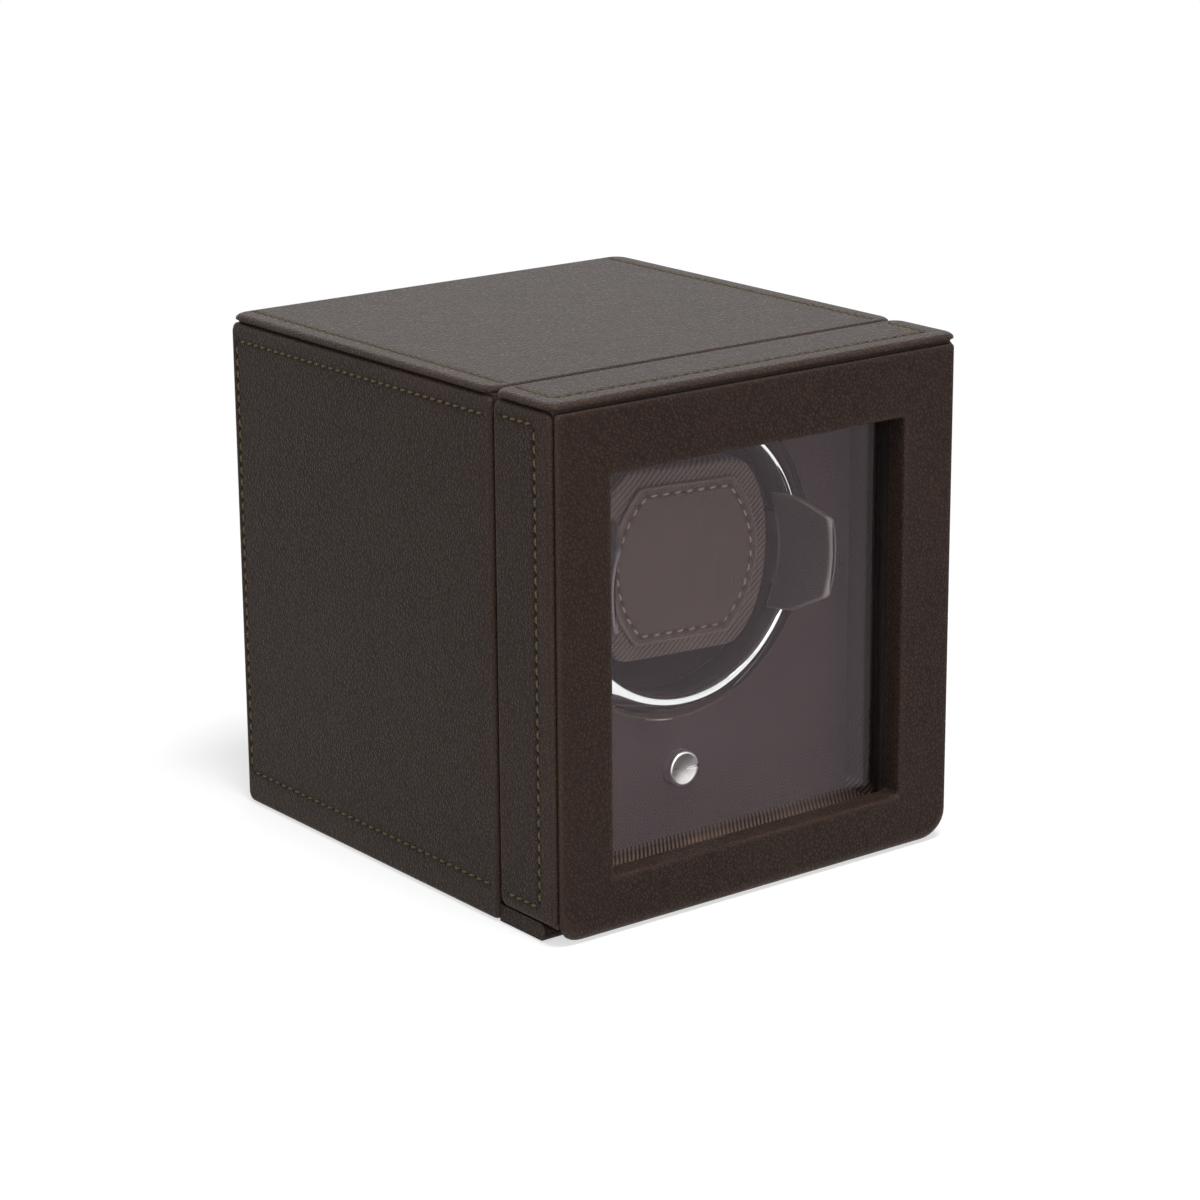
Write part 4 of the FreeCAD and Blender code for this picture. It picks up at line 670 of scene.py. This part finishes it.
def lathe(name, profile, body, slot, replaces, steps):
    # a closed profile of (radius, depth) carried round the drum's line
    turn = np.linspace(0, 2 * math.pi, steps, endpoint=False)
    radius, deep = np.array(profile).T
    rows = np.stack((radius[:, None] * np.cos(turn), np.tile((deep + frontAt)[:, None], (1, steps)),
                     drumHigh + radius[:, None] * np.sin(turn)), -1)
    skin(name, rows, body, slot, True, replaces=replaces)


def smooth(points, times):
    # corner cutting on a closed outline: each pass puts two points on every side, a quarter in from its ends
    for _ in range(times):
        ahead = np.roll(points, -1, axis=0)
        points = np.stack((points * 0.75 + ahead * 0.25, points * 0.25 + ahead * 0.75), 1).reshape(-1, 2)
    return points


hoops = {       # inner is how far the opening lies in from the frame's outside, deep its front and its back
    "recess_ribbed_lining": {"node": "recess_lining", "body": "case", "inner": (0.9, 0.9, 0.9, 0.9),
                             "deep": (27.55, 38.95)},
    # this frame stands above the floor, so it takes the lining's darker wall colour, painted shade
    "window_dark_frame": {"node": "glass_retainer", "body": "cover", "inner": (6.5, 12.0, 13.8, 12.0),
                          "deep": (9.15, 11.85)},
}
hoopEdge = 0.4


def hoop(name, node, body, inner, deep):
    # a flat frame: a small outline with a rounded edge towards the opening, carried round a rectangle
    low, high = (np.array(corner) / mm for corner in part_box(node))
    front, back = deep
    rows = [(np.zeros(4), back), (np.zeros(4), front + 0.05), (np.full(4, 0.05), front)]
    for turn in quarterTurn:
        rows.append((np.array(inner) - hoopEdge * (1 - math.sin(turn)),
                     front + hoopEdge * (1 - math.cos(turn))))
    rows.append((np.array(inner), back))
    insets, depths = np.array([row[0] for row in rows]), np.array([np.full(4, row[1]) for row in rows])
    flat, shares = roundedRings(low[[0, 2]], high[[0, 2]], insets, np.full((len(rows), 4), 0.12), [60] * 4, 3)
    points = np.stack((flat[..., 0], depths @ shares.T + frontAt, flat[..., 1]), -1)
    skin(name, points, body, "lining_cloth", True, replaces=(node,))


for name, frameLook in hoops.items():
    hoop(name, **frameLook)

ringProfile = [(39.62, 42.5), (39.62, 36.0), (39.75, 34.4), (40.1, 33.65), (40.6, 33.38), (41.2, 33.34),
               (42.0, 33.45), (43.2, 33.9), (44.6, 34.5), (46.0, 35.15), (47.1, 35.9), (47.75, 37.0),
               (47.95, 38.3), (47.95, 38.98), (44.0, 38.98), (43.1, 39.0), (43.1, 42.5)]
collarProfile = [(39.53, 44.95), (39.53, 34.8), (39.7, 34.64), (41.3, 34.64), (41.46, 34.8), (41.46, 42.95),
                 (49.9, 42.95), (49.95, 43.1), (49.95, 44.8), (49.9, 44.95)]
lathe("drum_ring", smooth(np.array(ringProfile), 2), "case", "chrome_trim", ("bezel_ring",), 256)
lathe("drum_mouth", collarProfile, "case", "black_plastic", ("drum_collar",), 192)

knobLook = {"front": 35.02, "dishRadius": 4.3, "dishDeep": 0.5, "slotHalf": 0.42, "slotDeep": 1.05,
            "slotFrom": 1.3,     # the rim is (radius, depth behind the knob's face)
            "rim": [(4.6, 3.62), (5.2, 3.63), (5.28, 3.5), (5.28, 0.75), (5.27, 0.5), (5.2, 0.28),
                    (5.05, 0.1), (4.85, 0.02), (4.6, 0.0), (4.4, 0.04)]}


def knobPiece():
    # A disc turned round its line, with a bowl in its face whose depth falls with the square of the radius.
    # Where x > 0 and |z| is under the slot's half width, the face sinks to the slot's floor, along a smooth
    # step.
    look = knobLook
    dish = [(r, look["dishDeep"] * (1 - (r / look["dishRadius"]) ** 2) + 0.06)
            for r in np.linspace(4.15, 0.2, 14)]
    turn = np.linspace(0, 2 * math.pi, 256, endpoint=False)
    radius, down = np.array(look["rim"] + dish).T
    x, z = radius[:, None] * np.cos(turn), radius[:, None] * np.sin(turn)
    side = np.clip((look["slotHalf"] + 0.06 - np.abs(z)) / 0.12, 0, 1)
    mask = side * side * (3 - 2 * side) * np.clip((x - look["slotFrom"]) / 0.3, 0, 1)
    deep = down[:, None] + np.maximum(look["slotDeep"] - down[:, None], 0) * mask
    points = np.stack((x, deep + look["front"] + frontAt, z + knobHigh), -1)
    skin("knob_turned", points, "knob", "chrome_trim", replaces=("knob",), finishOf=knobMetal)


knobPiece()
print("trims turned")


restTurn = math.radians(2.65)


def turned(points):
    # the drum and the cuff rest turned about the drum's line
    x, z = points[..., 0], points[..., 2] - drumHigh
    out = points.copy()
    out[..., 0] = x * math.cos(restTurn) + z * math.sin(restTurn)
    out[..., 2] = drumHigh - x * math.sin(restTurn) + z * math.cos(restTurn)
    return out


def barrelOutline(quarter, count):
    # a closed outline from its upper right quarter, mirrored twice, smoothed and evenly spaced
    quarter = np.array(quarter, float)
    upper = np.vstack((quarter[::-1], (quarter * (-1, 1))[1:]))
    outline = smooth(np.vstack((upper[:-1], -upper[:-1])), 3)
    closed = np.vstack((outline, outline[:1]))
    length = np.concatenate(([0], np.cumsum(np.linalg.norm(np.diff(closed, axis=0), axis=1))))
    at = np.linspace(0, length[-1], count, endpoint=False)
    return np.stack((np.interp(at, length, closed[:, 0]), np.interp(at, length, closed[:, 1])), -1)


def scaled(outline, inset):
    # the outline drawn in by inset on both half widths
    half = outline.max(0)
    return outline * (half - inset) / half


def stacked(outlines, depths):
    # flat outlines set at their depths round the drum's line, and turned with it
    flat = np.stack(outlines)
    deep = depths + np.zeros(flat.shape[:2])
    return turned(np.stack((flat[..., 0], deep + frontAt, flat[..., 1] + drumHigh), -1))


coreLook = {"quarter": [(0, 27.8), (10, 27.8), (17.5, 27.8), (21.0, 27.4), (24.8, 24.2), (28.1, 19.4),
                        (30.4, 13.0), (31.5, 7.5), (31.9, 0)], "count": 192, "front": 36.2, "back": 61.9,
            "frontEdge": 1.3, "backEdge": 2.2, "waist": 0.05, "crown": 0.12}


def cuffCore():
    # A block drawn in round both edges and a little at its waist. The map lays the cloth flat over the front
    # and lets it run on down the sides at the same scale.
    look = coreLook
    outline = barrelOutline(look["quarter"], look["count"])
    front, back, waist, crown = look["front"], look["back"], look["waist"], look["crown"]
    length = back - front
    rings = []      # outline, depth, outline on the map
    for share in (0.03, 0.2, 0.4, 0.6, 0.72, 0.8):
        rings.append((outline * share, front + crown * share ** 2, outline * share))
    edge = look["frontEdge"]
    for turn in np.linspace(math.pi / 2, 0, 8):
        rings.append((scaled(outline, edge * (1 - math.cos(turn)) + waist),
                      front + crown + (edge - crown) * (1 - math.sin(turn)),
                      scaled(outline, waist + edge * (turn / (math.pi / 2)) * 1.2)))
    for share in (0.3, 0.42, 0.55, 0.68, 0.8):
        bulge = waist * (1 - math.sin(math.pi * (share - 0.15)))
        rings.append((scaled(outline, bulge), front + length * share,
                      scaled(outline, waist - (length * share - edge))))
    edge = look["backEdge"]
    for turn in quarterTurn:
        rings.append((scaled(outline, edge * (1 - math.cos(turn)) + waist),
                      back - edge * (1 - math.sin(turn)),
                      scaled(outline, waist - (length - edge * 1.6) - edge * turn)))
    for share in (0.8, 0.5, 0.2, 0.03):
        rings.append((outline * share, back, scaled(outline, waist - length - 4)))
    outlines, depths, unrolled = zip(*rings)
    piece = skin("cuff_core_cloth", stacked(outlines, np.array(depths)[:, None]), "cuff", "cuff_cloth",
                 wrap=np.stack(unrolled) * mm, replaces=("cuff_core",))


padShape = {"quarter": [(0, 23.0), (9, 23.0), (15.5, 23.0), (16.9, 23.0), (17.8, 22.2), (20.9, 18.3),
                        (23.9, 13.6), (25.8, 8.1), (26.9, 3.5), (27.1, 0)], "front": 34.2, "back": 36.15,
            "edge": 0.85, "crown": 0.55, "roll": 0.1, "seam": 2.6, "seamScale": 0.8, "groove": 0.4,
            "pitch": 3.6, "meanRadius": 20.8, "threadLift": 0.12}
padThreadLook = {"long": 2.6, "thick": 0.6, "flat": 1.15, "slant": 7}


def cuffPad():
    # A pad on the core's front: up its back, round its edge as a quarter circle, down and up through the
    # stitched groove, and up to its crown along a sine.
    look = padShape
    outline = barrelOutline(look["quarter"], 4 * round(2 * math.pi * look["meanRadius"] / look["pitch"]))
    back, edge, roll = look["back"], look["edge"], look["roll"]
    level = look["front"] + look["crown"]
    rings = []      # outline, depth, share of the groove, painted shade, wear and painted highlight of the rim
    # the first rings, at the pad's back edge, carry a painted contact shadow
    for inset, deep in ((3.0, back), (0.35, back), (0.05, back - 0.2)):
        rings.append((scaled(outline, inset), deep, 0.0, 0.9, 0.0))
    for turn in quarterTurn:
        rings.append((scaled(outline, edge * (1 - math.cos(turn))), level + edge * (1 - math.sin(turn)),
                      0.0, 0.0, 0.3 + 0.5 * math.sin(2 * turn)))
    track = len(rings) + len(grooveShape) // 2
    for beside, share in zip(besideSeam, grooveShape):
        inset = max(look["seam"] + beside * look["seamScale"], edge + 0.1)
        rings.append((scaled(outline, inset), level - roll, share, share, 0.0))
    middle = scaled(outline, look["seam"] + besideSeam[-1] * look["seamScale"])
    for share in (0.05, 0.12, 0.22, 0.36, 0.52, 0.68, 0.84, 0.96):
        bulge = roll + (look["crown"] - roll) * math.sin(share * math.pi / 2) ** 0.8
        rings.append((middle * (1 - share), level - bulge, 0.0, 0.0, 0.0))
    outlines, depths, groove, paintedShade, rim = zip(*rings)
    groove, paintedShade, rim = (np.array(column)[:, None] for column in (groove, paintedShade, rim))
    hollow = np.zeros(len(outline))     # four points to a stitch, and a hole at the first
    hollow[::4] = 1.0
    hollow[1::4] = hollow[3::4] = 0.35
    pull = 0.8 + 0.5 * hollow
    points = stacked(outlines, np.array(depths)[:, None] + groove * pull * look["groove"])
    # seam: painted shade in the stitch holes and a painted contact shadow at the back; rim: wear and painted
    # highlight
    marks = {"rim": rim * np.ones_like(pull), "seam": np.clip(paintedShade * pull * (0.45 + hollow), 0, 1)}
    piece = skin("cuff_pad_leather", points, "cuff", "pad_leather", marks=marks, replaces=("cuff_pad",))
    holes = points[track][::4]
    ahead = np.roll(holes, -1, axis=0)
    tangents = (ahead - holes) / np.linalg.norm(ahead - holes, axis=1)[:, None]
    normals = np.tile([0.0, -1.0, 0.0], (len(holes), 1))
    stitches("cuff_pad_thread", (holes + ahead) / 2 + normals * look["threadLift"], tangents, normals,
             padThreadLook, "cuff", "pad_leather", padThread)


cuffCore()
cuffPad()
print("cuff made")

earLook = {"tip": 16.33, "root": 33.0, "bendRadius": 34.0, "flare": 6.35, "half": 0.97, "corner": 0.9,
           "armMiddle": 34.1, "armFrom": 32.0, "armBlend": 4.0,
           "outline": [(16.33, 11.55), (24.7, 16.6), (26.3, 17.1), (32.5, 17.1), (32.85, 16.5), (33.0, 15.2),
                       (33.1, 12.0), (33.4, 10.9)],     # depth and half width
           "depths": [17.8, 18.6, 19.6, 21, 22.4, 23.8, 24.9, 25.6, 26.6, 28, 29.4, 30.8, 32.0, 32.5, 32.85,
                      33.0, 33.1, 33.4, 34.2, 35.5, 38, 44, 52, 60, 63.8, 64.4, 64.6]}
shoeLook = {"inner": 34.6, "outer": 39.15, "halfHigh": 7.95, "deep": (50.05, 55.95), "corner": 0.9,
            "rings": [(0.0, 0.0), (0.0, 0.7), (0.1, 0.88), (0.35, 0.97), (0.8, 1.0)]}  # inset, share outwards
barrelLook = {"across": 33.6, "deep": 66.0, "steps": 40,    # the profile is (radius, height)
              "profile": [(1.27, -10.95), (1.27, 10.95), (2.2, 10.95), (2.48, 10.7), (2.48, -10.7),
                          (2.2, -10.95)]}


def earBlade(side, sign):
    # A flat bar with round edges, carried from the blade's tip back along the arm. On the blade it bends
    # round the drum's line, x = sqrt(r^2 - z^2), and on the arm it lies flat; a smooth step joins the two.
    look = earLook
    half, tip = look["half"], look["tip"]
    tipTurn = np.linspace(0.12, math.pi / 2, 6)
    depth = np.concatenate((tip + half * (1 - np.cos(tipTurn)), look["depths"]))
    shrink = np.ones(len(depth))
    shrink[:len(tipTurn)] = np.sin(tipTurn)
    shrink[-2:] = 0.8, 0.35
    past = np.clip((depth - tip) / look["corner"], 0, 1)
    wide = np.interp(depth, *np.array(look["outline"]).T)
    wide = wide - look["corner"] * (1 - np.sqrt(1 - (1 - past) ** 2))
    fall = np.clip((look["root"] - depth) / (look["root"] - tip), 0, 1)
    radius = look["bendRadius"] + look["flare"] * fall
    flat = np.clip((depth - look["armFrom"]) / look["armBlend"], 0, 1)
    flat = flat * flat * (3 - 2 * flat)
    run = np.linspace(-1, 1, 25)
    arc = np.linspace(0, math.pi, 9)[1:-1]
    across = np.concatenate((run, np.ones(len(arc)), run[::-1], -np.ones(len(arc))))
    over = np.concatenate((np.zeros(len(run)), np.sin(arc), np.zeros(len(run)), -np.sin(arc)))
    height = np.concatenate((np.ones(len(run)), np.cos(arc), -np.ones(len(run)), -np.cos(arc)))
    thick = half * shrink[:, None]
    z = across * (wide[:, None] - thick) + over * thick
    off = height * thick
    bent = np.sqrt(np.maximum((radius[:, None] + off) ** 2 - z ** 2, 1.0))
    x = bent * (1 - flat[:, None]) + (look["armMiddle"] + off) * flat[:, None]
    points = np.stack((sign * x, np.repeat((depth + frontAt)[:, None], x.shape[1], 1), z + drumHigh), -1)
    # rim mark: a painted highlight along the tip, the root edge and the rounded sides
    tipHighlight = np.clip(1 - (depth - tip - half * 0.6) / 0.9, 0, 1)
    rootHighlight = np.clip(1 - np.abs(depth - 32.8) / 0.4, 0, 1) * 0.7
    rim = np.maximum(tipHighlight, rootHighlight)[:, None] + np.abs(over) * 0.5 * (depth < look["root"])[:, None]
    skin(f"ear_{side}_blade", turned(points), f"ear_{side}", "ear_plastic", marks={"rim": np.clip(rim, 0, 1)},
         replaces=(f"ear_{side}",))


def earShoe(side, sign):
    # a block whose outer face follows the drum's wall, with rounded edges, from rounded rectangles in z and y
    look = shoeLook
    insets, outward = np.array(look["rings"]).T
    high, (front, back) = look["halfHigh"], look["deep"]
    flat, shares = roundedRings((-high, front), (high, back), np.tile(insets[:, None], 4),
                                np.full((len(insets), 4), look["corner"]), [12, 5, 12, 5])
    wall = np.sqrt(look["outer"] ** 2 - flat[..., 0] ** 2)
    x = look["inner"] + (wall - look["inner"]) * outward[:, None]
    points = np.stack((sign * x, flat[..., 1] + frontAt, flat[..., 0] + drumHigh), -1)
    skin(f"ear_{side}_shoe", turned(points), f"ear_{side}", "ear_plastic")


def earBarrel(side, sign):
    # a tube along the hinge pin: its wall's outline carried round the pin's line
    look = barrelLook
    turn = np.linspace(0, 2 * math.pi, look["steps"], endpoint=False)
    radius, high = np.array(look["profile"]).T
    points = np.stack((sign * look["across"] + radius[:, None] * np.cos(turn),
                       look["deep"] + frontAt + radius[:, None] * np.sin(turn),
                       np.repeat(high[:, None] + drumHigh, look["steps"], 1)), -1)
    skin(f"ear_{side}_barrel", turned(points), f"ear_{side}", "ear_plastic", True)


for side, sign in (("left", -1), ("right", 1)):
    earBlade(side, sign)
    earShoe(side, sign)
    earBarrel(side, sign)
print("ears made")


def seenBy(start):
    # 1 for what the camera sees, straight, in a gloss or through glass
    ray = start.node("LightPath", output="Is Camera Ray")
    seen = ray.calc("MAXIMUM", ray, ray.out("Is Glossy Ray"))
    return seen.calc("MAXIMUM", seen, ray.out("Is Transmission Ray"))


studioLook = {"half": 7, "floor": 0.9, "farFrom": (0.2, 0.75), "nearGlow": 0.62, "dim": 0.38}


def studioFloor():
    # A pale floor. Near the object part of it glows white for the camera, and further out all of it, so that
    # the object's shadow stays.
    made, start, place = material("studioFloor")
    far = start.node("VectorMath", {"operation": "LENGTH"}, {0: place}, 1).between(*studioLook["farFrom"])
    glowing = seenBy(start) * (far * (1 - studioLook["nearGlow"]) + studioLook["nearGlow"])
    matt = start.node("BsdfDiffuse", {}, {"Color": rgba([studioLook["floor"]] * 3)})
    glow = start.node("Emission", {}, {"Color": (1.0, 1.0, 1.0, 1.0), "Strength": 1.0})
    both = start.node("MixShader", {}, {0: glowing, 1: matt, 2: glow})
    start.node("OutputMaterial", {}, {"Surface": both})
    half = studioLook["half"]
    mesh = bpy.data.meshes.new("floor")
    corners = [(-half, -half, 0), (half, -half, 0), (half, half, 0), (-half, half, 0)]
    mesh.from_pydata(corners, [], [(0, 1, 2, 3)])
    mesh.materials.append(made)
    floor = bpy.data.objects.new("floor", mesh)
    scene.collection.objects.link(floor)


studioFloor()
world = bpy.data.worlds.new("studio")       # white to the camera, dimmer to the object
world.use_nodes = True
world.node_tree.nodes.clear()
sky = Wire(world.node_tree)
glare = seenBy(sky) * (1 - studioLook["dim"]) + studioLook["dim"]
room = sky.node("Background", {}, {"Color": (1.0, 1.0, 1.0, 1.0), "Strength": glare})
sky.node("OutputWorld", {}, {"Surface": room})
scene.world = world

lamps = {
    "overhead": {"place": (-0.1, -0.5, 1.5), "target": (0, -0.04, 0.08), "size": (0.6, 0.4), "power": 26.0},
    "leftSoft": {"place": (-1.6, -0.3, 0.7), "target": (0, 0, 0.08), "size": (0.9, 0.8), "power": 5.0},
    "frontSoft": {"place": (-0.5, -1.7, 0.75), "target": (0, 0, 0.09), "size": (1.0, 0.7), "power": 9.0},
    "backSoft": {"place": (0.9, 1.25, 0.8), "target": (0, 0, 0.1), "size": (1.1, 0.8), "power": 3.0},
}
for name, look in lamps.items():
    data = bpy.data.lights.new(name, "AREA")
    data.shape = "RECTANGLE"
    data.size, data.size_y = look["size"]
    data.energy = look["power"]
    light = bpy.data.objects.new(name, data)
    scene.collection.objects.link(light)
    light.location = look["place"]
    aim = Vector(look["target"]) - Vector(look["place"])
    light.rotation_euler = aim.to_track_quat("-Z", "Y").to_euler()

view = {"place": (-0.59237, -0.7737, 0.35296), "turn": -37.60, "rise": 16.28, "roll": -0.42, "lens": 102.97}
az, el, roll = (math.radians(view[key]) for key in ("turn", "rise", "roll"))
away = Vector((math.sin(az) * math.cos(el), -math.cos(az) * math.cos(el), math.sin(el)))
right = (-away).cross(Vector((0, 0, 1))).normalized()
up = right.cross(-away)
tilted = right * math.cos(roll) + up * math.sin(roll)
upright = up * math.cos(roll) - right * math.sin(roll)
cameraData = bpy.data.cameras.new("camera")
cameraData.lens = view["lens"]
cameraData.sensor_width = 36.0
cameraData.clip_start = 0.01
camera = bpy.data.objects.new("camera", cameraData)
scene.collection.objects.link(camera)
facing = Matrix((tilted, upright, away)).transposed().to_4x4()
camera.matrix_world = Matrix.Translation(view["place"]) @ facing
scene.camera = camera
scene.view_settings.view_transform = "Standard"
print("studio set")
